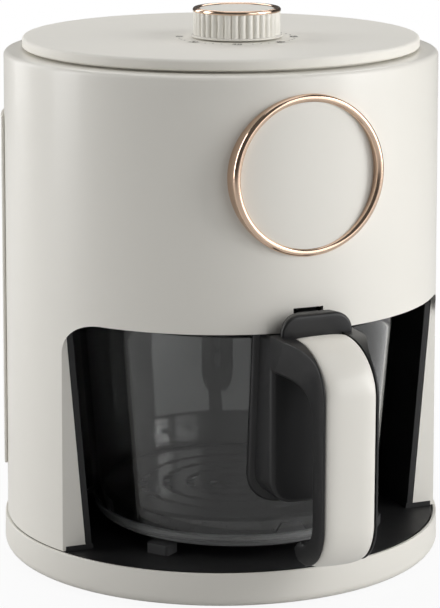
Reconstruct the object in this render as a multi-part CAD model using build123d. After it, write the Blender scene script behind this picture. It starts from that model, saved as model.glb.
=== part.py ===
from build123d import *
import math
import os

# Glass air fryer: a drum with a fixed top cover, a timer knob and a pull-out glass pot.
# Everything is drawn about the drum's upright axis, front towards -Y, in millimetres.
# The whole product is moved at the end, so that the origin lies under its middle.

# Drum and base
drum_r_base = 135.0        # drum radius at the foot of the base ring
drum_r_top = 130.0         # drum radius at the rim
wall = 2.5                 # moulded wall of the drum and the base ring
foot_h = 2.5               # free height under the bottom plate
foot_r = 12.0
foot_in = 27.0             # the four feet stand this far inside the drum's foot
base_round = 6.0           # rounding of the base ring's lower edge
tray_z = 23.5              # top of the black tray floor
plinth_h = 3.0             # step of the tray under the jambs
tray_t = 3.0
lip = 2.0                  # width of the base ring's top edge left round the tray
rim_z = 312.5              # top of the drum
rim_round = 3.0
ledge_in = 22.0            # the drum's top ledge reaches this far inwards
seam = 0.2                 # joint line between mouldings
bottom_t = 2.5

# Opening and bay for the pot
opening_drop = 1.7         # upper edge of the front opening, under the deck's underside
opening_half = 124.4       # half width of the opening's outline, past the drum's flanks
corner_r = 25.5            # rounding of the opening's upper corners
jamb_y = 52.6              # the two jambs lie in one plane, this far ahead of the drum's axis
jamb_t = 2.5
core_y = -25.0             # axis of the pot, fan, motor, timer and knob
bay_half_base = 104.5      # half width of the black bay at its foot
bay_half_top = 115.6       # half width of the bay under the deck
liner_t = 2.2
liner_edge = 4.0           # black edge of the liner seen beside each jamb
deck_gap = 4.8             # pot's rim to the underside of the deck over it
deck_t = 3.0
mouth_in = 4.0             # the deck's hole over the pot is this much smaller than the shroud

# Glass pot
pad_h = 6.0                # silicone pads that carry the pot
pad_w = 15.0
pad_d = 12.0
pot_gap = 0.3              # free space between pot and pads, and other moving faces
pot_r_base = 87.5
pot_r_top = 97.5
pot_h = 132.4
glass_t = 4.0
glass_base_t = 5.0
pot_round = 8.0            # rounding at the foot of the glass
seal_t = 5.0

# Crisper plate
plate_gap = 0.6            # bumper to glass, at rest
plate_t = 2.5
plate_skirt = 8.0
plate_leg = 3.0            # legs under the skirt
slot_rows = 4
slot_w = 5.0
bumper_t = 1.2
bumper_count = 4

# Handle
block_half = 26.0          # half width of the block on the glass
block_ahead = 3.4          # front of the block, ahead of the hood's back
block_h = 98.5
block_round = 14.0
flange_half = 30.5         # thin flange of the block against the glass
flange_t = 3.0
flange_h = 103.5
handle_up = 2.3            # top of the block over the pot's rim
arm_h = 20.5               # height of the arm at the block
arm_round = 22.0           # height of the curve from the arm's underside into the grip
grip_half = 17.0
grip_reach = 35.5          # inner face of the grip, ahead of the block
grip_t = 13.0              # depth of the black frame under the cover
crown_drop = 1.5           # top of the arm under the cover, below the top of the block
grip_fall = 27.0           # height of the curve from the crown down to the grip
toe_reach = 13.5           # tip of the toe, ahead of the block
toe_up = 13.3              # underside of the toe over the tray
toe_h = 13.0
toe_bend = 29.0            # height of the curve from the grip's face to the toe
cover_half = 15.5
cover_t = 4.0
cover_reach = 14.5         # the cover stops this far ahead of the toe's tip
frame_drop = 0.9           # frame's side strips lie this far below the cover's face
hood_half = 23.0
hood_gap = 4.213           # drum's front to the back of the hood
hood_t = 8.4
hood_h = 13.9              # hood over the top of the block
hood_round = 11.0
tab_half = 6.5
tab_up = 10.8              # middle of the tab over the top of the block
tab_h = 4.0
tab_reach = 2.2            # tab's reach inside the drum's wall

# Top cover, knob and timer
cover_in = 10.0            # the cover's edge lies this far inside the drum's rim
cover_gap = 1.5            # dark gap between the drum's ledge and the disc
cover_h = 6.5
knob_gap = 0.7
knob_r = 26.0
knob_h = 16.4
knob_flange = 1.3
flute_count = 36
flute_r = 1.3
ring_w = 4.4               # rose-gold ring on the knob
ring_h = 2.4
spindle_r = 3.0
running = 0.05             # radial clearance of turning shafts
timer_side = 46.0
timer_h = 24.0

# Accent ring on the front
accent_z = 255.3
accent_r = 46.5
accent_w = 4.6
accent_proud = 1.45        # ring's crest ahead of the drum's fullest front line behind it
disc_r = 190.0             # curvature of the plain disc inside the ring
disc_sink = 1.2            # middle of the plain disc behind the ring's crest

# Upper works
shroud_t = 1.0
shroud_h = 42.0
blanket_t = 6.0
guard_t = 1.2
guard_rings = 4
guard_bar = 3.0
heater_tube = 3.25         # radius of the heater's tube
heater_up = 14.0           # middle of the heater over the deck
heater_wall = 9.0          # end of the spirals to the shroud
heater_in = 16.0           # radius at which the two spirals leave the middle
heater_turns = 5           # half turns of each of the two spirals
heater_bend = 8.0
heater_leg_h = 52.0        # height of the two upright legs over the spirals
clip_count = 3
fan_gap = 9.0              # fan's edge to the middle line of the heater's legs
fan_h = 12.0
fan_blades = 12
shield_in = 19.5           # the heat shield's edge lies this far inside the drum
shield_up = 9.0            # the heat shield over the chamber's roof
shield_t = 1.0
cool_r = 34.0
cool_h = 9.0
cool_blades = 9
motor_up = 19.0            # motor's underside over the heat shield
motor_h = 22.0
motor_half = 30.0
window_half = 16.0         # half width of the motor core's window
window_d = 14.0
shaft_r = 3.0
switch_d = 11.0
switch_h = 11.5
switch_back = 2.0          # front of the switch behind the plunger's tip
switch_gap = 1.2           # back of the switch to the chamber's flange
plunger_half = 2.0
term_gap = 25.8            # terminal block to the drum's inner wall
term_h = 14.0

# Rear cover, vent and cord inlet
rear_z0 = 56.0
rear_z1 = 274.0
rear_half_angle = 76.0
rear_proud = 2.0
rear_screw_angle = 27.0
vent_half = 34.0
vent_z0 = 196.0
vent_z1 = 252.0
vent_bars = 8
gland_z = 78.0
gland_r = 9.0
gland_bore = 3.6
screw_r = 2.0
head_r = 3.6

pieces = {}


def drum_r(z):
    """Outer radius of the tapered drum at height z."""
    return drum_r_base + (drum_r_top - drum_r_base) * (z - foot_h) / (rim_z - foot_h)


def pot_r(z):
    """Outer radius of the tapered glass at height z."""
    return pot_r_base + (pot_r_top - pot_r_base) * (z - pot_z) / pot_h


def bay_half(z):
    """Inner half width of the black bay at height z."""
    low = tray_z + plinth_h
    return bay_half_base + (bay_half_top - bay_half_base) * (z - low) / (deck_z - low)


# Places that follow from the sizes above
pot_z = tray_z + pad_h + pot_gap
pot_top = pot_z + pot_h
deck_z = pot_top + deck_gap
deck_top = deck_z + deck_t
opening_z = deck_z - opening_drop
cover_z = rim_z + cover_gap
cover_top = cover_z + cover_h
knob_z = cover_top + knob_gap
knob_top = knob_z + knob_h
foot_pcr = drum_r_base - foot_in
ledge_r = drum_r_top - ledge_in
cover_r = drum_r_top - cover_in
reach = max(drum_r_base, drum_r_top) + 5.0
handle_top = pot_top + handle_up
block_z0 = handle_top - block_h
flange_z0 = handle_top - flange_h
arm_under = handle_top - arm_h
grip_crown = handle_top - crown_drop
hood_top = handle_top + hood_h
tab_z = handle_top + tab_up
toe_z = tray_z + toe_up
hood_y0 = drum_r(handle_top) + hood_gap
hood_y1 = hood_y0 + hood_t
block_y = hood_y0 + block_ahead
grip_in = block_y + grip_reach
grip_out = grip_in + grip_t
toe_y = block_y + toe_reach
cover_end = toe_y + cover_reach
tab_tip = -drum_r(tab_z) + wall + tab_reach
switch_y = tab_tip + pot_gap + switch_back
shroud_r = core_y - switch_y - switch_d - switch_gap - blanket_t - 1.0 - shroud_t
mouth_r = shroud_r - mouth_in
heater_z = deck_top + heater_up
heater_step = (shroud_r - heater_wall - heater_in) / heater_turns
heater_leg = heater_z + heater_leg_h
fan_r = shroud_r - heater_wall - fan_gap
shield_z = deck_top + shroud_h + shield_up
shield_r = drum_r(shield_z) - shield_in
motor_z = shield_z + motor_up


def spun(points, y=0.0):
    """Solid of revolution of an (r, z) outline about an upright axis at y."""
    outline = make_face(Polyline(*points, close=True))
    return Pos(0, y, 0) * revolve(Plane.XZ * outline, Axis.Z)


def tube(r_out, r_in, z0, z1, y=0.0):
    """Upright tube between two heights."""
    return spun([(r_in, z0), (r_out, z0), (r_out, z1), (r_in, z1)], y)


def rod(r, z0, z1, x=0.0, y=0.0):
    """Upright rod between two heights."""
    return Pos(x, y, z0) * Cylinder(r, z1 - z0, align=(Align.CENTER, Align.CENTER, Align.MIN))


def block(x0, x1, y0, y1, z0, z1):
    """Box between two corners."""
    return Pos((x0 + x1) / 2, (y0 + y1) / 2, (z0 + z1) / 2) * Box(x1 - x0, y1 - y0, z1 - z0)


def drum_solid(inset, z0, z1):
    """The tapered drum, drawn in by an inset, between two heights."""
    return spun([(0, z0), (drum_r(z0) - inset, z0), (drum_r(z1) - inset, z1), (0, z1)])


def front_prism(sketch, y_front, y_back):
    """A front-view sketch carried along Y, between two distances given as y."""
    return extrude(Pos(0, y_back, 0) * (Plane.XZ * sketch), amount=y_back - y_front)


def side_prism(sketch, half):
    """A side-view (y, z) sketch carried to both sides of the middle plane."""
    return extrude(Plane.YZ * sketch, amount=half, both=True)


def bay_solid(grow, z0, z1, y_front):
    """The bay's room: a tapered half round behind the pot's axis, straight sides ahead of it."""
    a, b = bay_half(z0) + grow, bay_half(z1) + grow
    cone = spun([(0, z0), (a, z0), (b, z1), (0, z1)], core_y)
    back = cone & block(-b, b, core_y, core_y + b, z0, z1)
    sides = Polyline((-a, z0), (a, z0), (b, z1), (-b, z1), close=True)
    return back + front_prism(make_face(sides), y_front, core_y)


def around(shape, count, start=0.0, y=0.0):
    """Copies of a shape turned about an upright axis at y."""
    spots = [start + 360.0 * k / count for k in range(count)]
    return [Pos(0, y, 0) * Rot(0, 0, a) * Pos(0, -y, 0) * shape for a in spots]


def fuse(shapes):
    """One solid from a list."""
    total = shapes[0]
    for shape in shapes[1:]:
        total = total + shape
    return total


def rim(solid, r, z, round_by):
    """Round the circular edge of a solid that has radius r at height z."""
    near = [e for e in solid.edges().filter_by(GeomType.CIRCLE)
            if abs(e.radius - r) < 0.02 and abs(e.center().Z - z) < 0.02]
    return fillet(near, round_by)


def spread(count, radius, start=0.0, y=0.0):
    """Places (x, y) evenly round a circle about (0, y), the first at the start angle."""
    angles = [math.radians(start + 360.0 * k / count) for k in range(count)]
    return [(radius * math.cos(a), y + radius * math.sin(a)) for a in angles]


def outer_shell():
    """Drum wall with top ledge, front opening, jambs, interlock slot and rear windows."""
    z0 = tray_z + seam
    outline = [(drum_r(z0) - wall, z0), (drum_r(z0), z0), (drum_r(rim_z), rim_z), (ledge_r, rim_z),
               (ledge_r, rim_z - wall), (drum_r(rim_z) - wall, rim_z - wall)]
    shell = rim(spun(outline), drum_r(rim_z), rim_z, rim_round)
    mid = (z0 - 1 + opening_z) / 2
    door = Pos(0, mid) * Rectangle(2 * opening_half, opening_z - z0 + 1)
    door = fillet(door.vertices().group_by(Axis.Y)[-1], corner_r)
    shell = shell - front_prism(door, -reach, -jamb_y)
    plinth_z = tray_z + plinth_h
    slab = block(-reach, reach, -jamb_y, -jamb_y + jamb_t, plinth_z, deck_z)
    jambs = slab & drum_solid(wall / 2, plinth_z, deck_z)
    jambs = jambs - bay_solid(liner_edge + seam, plinth_z - 1, deck_z + 1, -jamb_y - 1)
    shell = shell + jambs
    slot = block(-tab_half - 2.8, tab_half + 2.8, -reach, tab_tip + tab_h, tab_z - tab_h, tab_z + tab_h)
    window = block(-vent_half, vent_half, vent_back(), reach, vent_z0, vent_z1)
    inlet = Pos(0, drum_r(gland_z), gland_z) * Rot(90, 0, 0) * Cylinder(gland_r - 2, 30)
    shell = shell - slot - window - inlet
    for spot in rear_screw_spots():
        shell = shell - spot * Cylinder(screw_r + 0.1, 30)
    return shell


def base_parts():
    """Base ring, tray, pads, bottom plate, feet and screws."""
    z_top = tray_z
    floor_z = z_top - tray_t
    r_low, r_high = drum_r(foot_h), drum_r(z_top)
    well = r_low - base_round - 1
    outline = [(r_low, foot_h), (r_high, z_top), (r_high - lip, z_top), (r_high - lip, floor_z - seam),
               (r_high - lip - 4, floor_z - seam), (r_high - lip - 4, floor_z - wall), (well, floor_z - wall),
               (well, foot_h)]
    pieces["base_ring"] = rim(spun(outline), r_low, foot_h, base_round)

    r_tray = drum_r(z_top) - lip - seam
    tray = rod(r_tray, floor_z, tray_z)
    plinth_z = tray_z + plinth_h
    step = drum_solid(wall + seam, tray_z, plinth_z) - bay_solid(-0.5, tray_z - 1, plinth_z + 1, -reach)
    step = step & block(-reach, reach, -jamb_y - seam, reach, tray_z, plinth_z)
    tray = tray + step
    ribs = fuse(around(block(-1, 1, 30, r_tray - 12, foot_h + bottom_t + seam, floor_z), 8))
    tray = tray + ribs + tube(32, 29, foot_h + bottom_t + seam, floor_z)
    pieces["base_tray"] = tray

    pad = block(-pad_w / 2, pad_w / 2, -pad_d, 0, tray_z, tray_z + pad_h)
    pad = fillet(pad.edges().filter_by(Axis.Z), 2.0)
    pads = []
    for a in (-54.0, 54.0, 132.0, -132.0):
        spot = Pos(0, core_y, 0) * Rot(0, 0, a) * Pos(0, -pot_r_base + pad_d - 2.5, 0)
        pads.append(spot * pad)
    pieces["pot_pads"] = Compound(children=pads)

    r_plate = r_low - base_round - 1.2
    plate = rod(r_plate, foot_h, foot_h + bottom_t)
    vent = Pos(0, 62, foot_h) * extrude(SlotOverall(22, 5), amount=3 * bottom_t, both=True)
    for hole in around(vent, 12, 15):
        plate = plate - hole
    feet, screws = [], []
    for k in range(4):
        a = math.radians(45 + 90 * k)
        x, y = foot_pcr * math.cos(a), foot_pcr * math.sin(a)
        plate = plate - rod(3.2, 0, 9, x, y)
        cup = rod(foot_r, 0, foot_h, x, y)
        cup = chamfer(cup.edges().group_by(Axis.Z)[0], 0.8)
        feet.append(cup + rod(3.0, foot_h, foot_h + bottom_t, x, y))
        b = math.radians(90 * k + 22.5)
        x, y = foot_pcr * math.cos(b), foot_pcr * math.sin(b)
        plate = plate - rod(screw_r + 0.1, 0, 9, x, y)
        boss = rod(4.0, foot_h + bottom_t + seam, floor_z, x, y) - rod(screw_r + 0.05, 0, 17, x, y)
        pieces["base_tray"] = pieces["base_tray"] + boss
        screws.append(rod(head_r, foot_h - 1.4, foot_h, x, y) + rod(screw_r, foot_h, 14, x, y))
    pieces["bottom_plate"] = plate
    pieces["feet"] = Compound(children=feet)
    pieces["base_screws"] = Compound(children=screws)


def bay_parts():
    """Black liner of the bay, the deck over it and the silicone seal over the pot."""
    z0, z1 = tray_z + plinth_h + seam / 2, deck_z - seam
    front = -jamb_y
    liner = bay_solid(liner_t, z0, z1, front) - bay_solid(0, z0 - 1, z1 + 1, front - 1)
    edge = bay_solid(liner_edge, z0, z1, front) - bay_solid(0, z0 - 1, z1 + 1, front - 1)
    edge = edge & block(-reach, reach, front, front + jamb_t, z0, z1)
    keep = drum_solid(wall + seam, z0 - 1, z1 + 1)
    pieces["cavity_liner"] = (liner + edge) & keep
    deck = drum_solid(wall + seam, deck_z, deck_top) - rod(mouth_r, deck_z - 1, deck_top + 1, 0, core_y)
    pieces["deck_ring"] = deck
    r_seal = pot_r(pot_top) - 1.0
    z_seal = pot_top + pot_gap
    lip_in = r_seal - seal_t - 1.5
    seal = spun([(lip_in, deck_z), (lip_in, z_seal + 2.5), (r_seal - 3, z_seal), (r_seal - 1, z_seal),
                 (r_seal, z_seal + 2.5), (r_seal, deck_z)], core_y)
    pieces["mouth_seal"] = seal


def pot_parts():
    """Glass pot and the slotted crisper plate inside it."""
    r0, r1 = pot_r_base, pot_r_top
    slope = (r1 - r0) / pot_h
    outer = spun([(0, pot_z), (r0, pot_z), (r1, pot_top), (0, pot_top)], core_y)
    outer = fillet(outer.edges().group_by(Axis.Z)[0], pot_round)
    zi = pot_z + glass_base_t
    ri = r0 + slope * glass_base_t - glass_t
    inner = spun([(0, zi), (ri, zi), (r1 - glass_t + slope * 2, pot_top + 2), (0, pot_top + 2)], core_y)
    inner = fillet(inner.edges().group_by(Axis.Z)[0], pot_round - glass_t)
    glass = outer - inner
    glass = fillet(glass.edges().group_by(Axis.Z)[-1], 1.2)
    for z in screw_heights():
        glass = glass - Pos(0, core_y - pot_r(z), z) * Rot(90, 0, 0) * Cylinder(screw_r + 1.0, 30)
    pieces["glass_pot"] = glass

    leg_z = zi + pot_gap
    skirt_z = leg_z + plate_leg
    top_z = skirt_z + plate_skirt
    r_plate = pot_r(skirt_z) - glass_t - plate_gap - bumper_t
    profile = [(0, top_z - plate_t), (r_plate - 2, top_z - plate_t), (r_plate - 2, skirt_z),
               (r_plate, skirt_z), (r_plate, top_z), (r_plate - 3, top_z + 1.5),
               (r_plate - 5, top_z), (0, top_z)]
    plate = spun(profile, core_y)
    cuts = []
    for row in range(slot_rows):
        radius = 14.0 + row * (r_plate - 24) / slot_rows
        count = 6 + 6 * row
        length = 2 * math.pi * radius / count * 0.62
        slot = extrude(SlotOverall(length + slot_w, slot_w), amount=6, both=True)
        one = Pos(0, core_y - radius, top_z) * slot
        cuts += around(one, count, 180.0 / count * (row % 2), core_y)
    plate = plate - Compound(children=cuts)
    plate = plate - rod(4, top_z - 6, top_z + 6, 0, core_y)
    legs = around(Pos(0, core_y - r_plate + 8, leg_z) * Cylinder(3, top_z - plate_t - leg_z,
                  align=(Align.CENTER, Align.CENTER, Align.MIN)), 4, 45, core_y)
    plate = fuse([plate] + legs)
    wide, narrow = 20.0, 12.0
    mid = (skirt_z + top_z) / 2 - 0.5
    shape = Polyline((-wide / 2, -3), (wide / 2, -3), (narrow / 2, 3), (-narrow / 2, 3), close=True)
    pocket = front_prism(Pos(0, mid) * make_face(shape), core_y - r_plate - 3, core_y - r_plate + 1.2)
    pockets = around(pocket, bumper_count, 0, core_y)
    ring = tube(r_plate + bumper_t, r_plate - 0.8, skirt_z, top_z, core_y)
    inset = Pos(0, mid) * offset(make_face(shape), -0.3)
    small = front_prism(inset, core_y - r_plate - 3, core_y - r_plate + 1.0)
    bumpers = [p & ring for p in around(small, bumper_count, 0, core_y)]
    plate = plate - Compound(children=[p & tube(r_plate + 1, r_plate - 1.2, skirt_z, top_z, core_y)
                                       for p in pockets])
    pieces["crisper_plate"] = plate
    pieces["plate_bumpers"] = Compound(children=bumpers)


def screw_heights():
    """Heights of the two screws that hold the handle on the glass."""
    return (block_z0 + 18.0, arm_under - 4.0)


def grip_face(grow):
    """Side view of arm, grip and toe; grow moves its outer line out."""
    start = hood_y1 + 0.6
    out, crown = grip_out + grow, grip_crown + grow
    low = toe_z + cover_t - grow
    toe = toe_y + toe_h / 2
    bend = toe_z + toe_bend
    curl = grip_in - toe
    lines = [
        Line((-start, crown), (-start - 8, crown)),
        EllipticalCenterArc((-start - 8, crown - grip_fall), out - start - 8, grip_fall, 90, arc_size=90),
        Line((-out, crown - grip_fall), (-out, bend)),
        EllipticalCenterArc((-toe - 4, bend), out - toe - 4, bend - low, 180, arc_size=90),
        Line((-toe - 4, low), (-toe, low)),
        EllipticalCenterArc((-toe, toe_z + toe_h / 2), toe_h / 2, toe_h / 2 + toe_z - low, 270, arc_size=90),
        EllipticalCenterArc((-toe, toe_z + toe_h / 2), toe_h / 2, toe_h / 2, 0, arc_size=90),
        EllipticalCenterArc((-toe, toe_z + toe_h + curl), curl, curl, 270, arc_size=-90),
        Line((-grip_in, toe_z + toe_h + curl), (-grip_in, arm_under - arm_round)),
        EllipticalCenterArc((-block_y, arm_under - arm_round), grip_reach, arm_round, 180, arc_size=-90),
        Line((-block_y, arm_under), (-block_y + 4, arm_under)),
        Line((-block_y + 4, arm_under), (-block_y + 4, handle_top)),
        Line((-block_y + 4, handle_top), (-start, handle_top)),
        Line((-start, handle_top), (-start, crown)),
    ]
    return make_face(lines)


def bend_mid():
    """A height between the arm and the toe, clear of both."""
    return (arm_under + toe_z) / 2


def handle_parts():
    """Block on the glass, arm, grip, cream cover, hood with its tab, gasket and screws."""
    z_top = handle_top
    seat = 0.5
    skin = spun([(0, flange_z0 - 2), (pot_r(flange_z0 - 2) + seat, flange_z0 - 2),
                 (pot_r(z_top + 2) + seat, z_top + 2), (0, z_top + 2)], core_y)
    mid = (flange_z0 + z_top) / 2
    face = Pos(0, mid) * Rectangle(2 * flange_half, z_top - flange_z0)
    face = fillet(face.vertices().group_by(Axis.Y)[0], block_round + 2)
    flange = front_prism(face, -block_y, core_y - 40)
    thick = spun([(0, flange_z0 - 2), (pot_r(flange_z0 - 2) + seat + flange_t, flange_z0 - 2),
                  (pot_r(z_top + 2) + seat + flange_t, z_top + 2), (0, z_top + 2)], core_y)
    flange = (flange & thick) - skin
    mid = (block_z0 + z_top) / 2
    face = Pos(0, mid) * Rectangle(2 * block_half, z_top - block_z0)
    face = fillet(face.vertices().group_by(Axis.Y)[0], block_round)
    body = front_prism(face, -block_y, core_y - 60) - skin
    ahead = block_y + 20
    plan = Polyline((-block_half, -block_y + 6), (block_half, -block_y + 6), (block_half, -block_y),
                    (grip_half, -ahead), (-grip_half, -ahead), (-block_half, -block_y), close=True)
    root = Pos(0, 0, arm_under - arm_round / 2) * extrude(make_face(plan), amount=handle_top)
    profile = grip_face(cover_t - frame_drop)
    grip = side_prism(profile, grip_half) + (side_prism(profile, block_half) & root)
    seat_cut = side_prism(grip_face(cover_t + 1), cover_half + 0.15)
    seat_cut = seat_cut - side_prism(grip_face(0), cover_half + 1)
    room = block(-50, 50, -grip_out - 20, -hood_y1 - 0.6, toe_z - 10, grip_crown + 10)
    room = room - block(-50, 50, -cover_end, -block_y, toe_z - 20, bend_mid())
    grip = grip - (seat_cut & room)
    frame = flange + body + grip
    for z in screw_heights():
        frame = frame - Pos(0, core_y - pot_r(z) - 8, z) * Rot(90, 0, 0) * Cylinder(screw_r + 0.05, 20)
    pieces["handle_frame"] = frame

    shell = side_prism(grip_face(cover_t), cover_half) - side_prism(grip_face(0.1), cover_half + 1)
    room = room - block(-50, 50, -cover_end - 0.2, -block_y, toe_z - 20, bend_mid())
    pieces["grip_cover"] = max((shell & room).solids(), key=lambda s: s.volume)

    height = hood_top - z_top - 0.1
    face = Pos(0, z_top + 0.1 + height / 2) * Rectangle(2 * hood_half, height)
    face = fillet(face.vertices().group_by(Axis.Y)[-1], hood_round)
    hood = front_prism(face, -hood_y1, -hood_y0)
    hood = fillet(hood.edges().group_by(Axis.Y)[0], 1.5)
    tab = block(-tab_half, tab_half, -hood_y0 - 1, tab_tip, tab_z - tab_h / 2, tab_z + tab_h / 2)
    pieces["hood"] = hood + tab

    gasket, screws, plates = [], [], []
    for z in screw_heights():
        wash = Pos(0, core_y - pot_r(z), z) * Rot(90, 0, 0) * Cylinder(9, 20)
        wash = wash & (skin - spun([(0, flange_z0), (pot_r(flange_z0) + 0.1, flange_z0),
                                    (pot_r(z_top) + 0.1, z_top), (0, z_top)], core_y))
        hole = Pos(0, core_y - pot_r(z), z) * Rot(90, 0, 0) * Cylinder(screw_r + 0.1, 40)
        gasket.append(wash - hole)
        inside = core_y - pot_r(z) + glass_t + 0.6
        head = Pos(0, inside + 0.8, z) * Rot(90, 0, 0) * Cylinder(head_r + 2.0, 1.4)
        stem = Pos(0, inside - 9, z) * Rot(90, 0, 0) * Cylinder(screw_r, 19)
        screws.append(head + stem)
    pieces["handle_gasket"] = Compound(children=[s for g in gasket for s in g.solids()])
    pieces["handle_screws"] = Compound(children=screws)


def top_parts():
    """Fixed top cover, timer, knob, rose-gold knob ring and cap."""
    disc = spun([(0, cover_z), (cover_r - 1, cover_z), (cover_r, cover_z + 1), (cover_r, cover_top - 2.5),
                 (cover_r - 0.75, cover_top - 0.75), (cover_r - 2.5, cover_top), (0, cover_top)])
    seat = tube(cover_r - 6, ledge_r - 3, rim_z, cover_z)
    skirt = tube(ledge_r - 0.6, ledge_r - 3, rim_z - 8, cover_z)
    disc = disc + seat + skirt
    disc = disc - rod(spindle_r + 2, rim_z - 10, cover_top + 5, 0, core_y)
    timer_top = cover_z - 4.0
    screws = []
    for side in (-1, 1):
        x = side * (timer_side / 2 + 7)
        disc = disc + rod(4.5, timer_top, cover_z + 1, x, core_y)
        disc = disc - rod(screw_r, timer_top - 1, cover_z + 1, x, core_y)
        screws.append(rod(head_r, timer_top - 3, timer_top - 1.3, x, core_y)
                      + rod(screw_r - 0.05, timer_top - 1.5, cover_z, x, core_y))
    pieces["top_cover"] = disc
    pieces["timer_screws"] = Compound(children=screws)
    ear = block(-timer_side / 2 - 12, timer_side / 2 + 12, core_y - 7, core_y + 7, timer_top - 1.2, timer_top)
    case = block(-timer_side / 2, timer_side / 2, core_y - timer_side / 2, core_y + timer_side / 2,
                 timer_top - timer_h, timer_top - 1.2)
    case = fillet(case.edges().filter_by(Axis.Z), 4)
    timer = case + ear
    for side in (-1, 1):
        timer = timer - rod(screw_r + 0.1, timer_top - 5, timer_top + 5, side * (timer_side / 2 + 7), core_y)
    low = timer_top - timer_h + 8
    pieces["timer_body"] = timer - rod(spindle_r + running, low - 1, timer_top + 5, 0, core_y)
    spindle = rod(spindle_r, low, knob_top - ring_h - 3, 0, core_y)
    flat = block(spindle_r - 0.8, spindle_r + 2, core_y - 5, core_y + 5, knob_z + 1, knob_top)
    pieces["timer_spindle"] = spindle - flat

    body_top = knob_top - ring_h
    knob = rod(knob_r, knob_z, body_top, 0, core_y)
    flute = rod(flute_r, knob_z + knob_flange, body_top + 1, 0, core_y - knob_r - 0.45)
    knob = knob - Compound(children=around(flute, flute_count, 0, core_y))
    knob = knob + tube(knob_r + 1.2, knob_r - 3, knob_z, knob_z + knob_flange, core_y)
    knob = knob - rod(knob_r - 4, knob_z - 1, body_top - 2.5, 0, core_y)
    hub = rod(spindle_r + 3, knob_z, body_top - 2, 0, core_y)
    knob = knob + hub - pieces["timer_spindle"]
    pieces["knob_body"] = knob
    gold = spun([(knob_r - ring_w, body_top), (knob_r + 0.1, body_top), (knob_r + 0.1, body_top + 1),
                 (knob_r - 0.6, knob_top - 0.4), (knob_r - 1.8, knob_top),
                 (knob_r - ring_w + 1, knob_top - 0.2), (knob_r - ring_w, knob_top - 1)], core_y)
    pieces["knob_ring"] = gold
    cap = spun([(0, body_top), (knob_r - ring_w - 0.15, body_top), (knob_r - ring_w - 0.15, knob_top - 1.1),
                (knob_r - ring_w - 4, knob_top - 0.9), (0, knob_top - 1.2)], core_y)
    pieces["knob_cap"] = cap


def accent_parts():
    """Rose-gold ring that stands on the drum's curved front, and the plain disc inside."""
    low, high = accent_z - accent_r, accent_z + accent_r
    front = -max(drum_r(low), drum_r(high)) - accent_proud
    back = -math.sqrt(min(drum_r(low), drum_r(high)) ** 2 - accent_r ** 2) + accent_w
    through = 4 * accent_r
    lap = drum_solid(-0.1, low - accent_w, high + accent_w)
    mid = accent_r - accent_w / 2
    ring = Pos(0, (front + accent_w / 2 + back) / 2, accent_z) * Rot(90, 0, 0) * Cylinder(
        accent_r, back - front - accent_w / 2)
    bore = Pos(0, back, accent_z) * Rot(90, 0, 0) * Cylinder(accent_r - accent_w, through)
    bead = Pos(0, front + accent_w / 2, accent_z) * Rot(90, 0, 0) * Torus(mid, accent_w / 2)
    pieces["accent_ring"] = max(((ring - bore + bead) - lap).solids(), key=lambda s: s.volume)
    plug = Pos(0, back, accent_z) * Rot(90, 0, 0) * Cylinder(accent_r - accent_w - 0.15, through)
    crown = front + disc_sink + disc_r
    dome = Pos(0, crown, accent_z) * Cylinder(disc_r, 2 * accent_r)
    pieces["accent_disc"] = max(((plug & dome) - lap).solids(), key=lambda s: s.volume)


def heater_reach():
    """Distance from the middle at which each half turn of a spiral starts or ends."""
    return [heater_in + k * heater_step for k in range(heater_turns + 1)]


def heater_legs():
    """Where the two upright legs of the heater stand, in plan."""
    side = 1 if heater_turns % 2 == 0 else -1
    return [(-side * heater_bend, core_y + side * heater_reach()[-1]),
            (side * heater_bend, core_y - side * heater_reach()[-1])]


def heater_arcs(turned):
    """One spiral from the middle outwards in half turns, then its bend and upright leg."""
    steps = [0.0] + heater_reach()
    runs = []
    for k in range(len(steps) - 1):
        side = 1 if k % 2 == 0 else -1
        start, stop = -side * steps[k], side * steps[k + 1]
        begin = 90 if start > stop else 270
        runs.append(CenterArc((0, (start + stop) / 2), abs(start - stop) / 2, begin, 180))
    side = 1 if heater_turns % 2 == 0 else -1
    end = side * steps[-1]
    upright = Plane(origin=(0, end, heater_bend), x_dir=(-side, 0, 0), z_dir=(0, side, 0))
    runs.append(upright * CenterArc((0, 0), heater_bend, 270, 90))
    foot = (-side * heater_bend, end, heater_bend)
    runs.append(Line(foot, (foot[0], foot[1], heater_leg - heater_z)))
    place = Pos(0, core_y, heater_z) * Rot(0, 0, turned)
    return [place * run for run in runs]


def heater():
    """Tubular element: two interleaved spirals joined by an S bend in the middle."""
    solids = []
    for turned in (0, 180):
        for run in heater_arcs(turned):
            solids.append(sweep(Plane(run @ 0, z_dir=run % 0) * Circle(heater_tube), path=run))
    return fuse(solids)


def heater_gap():
    """Least gap between neighbouring turns, measured on points of both spirals."""
    spots, along = [], 0.0
    runs = list(reversed(heater_arcs(0)[:-2])) + heater_arcs(180)[:-2]
    for index, run in enumerate(runs):
        flip = index < len(heater_arcs(0)) - 2
        for step in range(40):
            t = 1 - step / 40 if flip else step / 40
            point = run @ t
            spots.append((along + run.length * step / 40, point.X, point.Y))
        along += run.length
    near = 4 * heater_in
    least = min(math.hypot(p[1] - q[1], p[2] - q[2]) for p in spots for q in spots if q[0] - p[0] > near)
    return least - 2 * heater_tube


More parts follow.
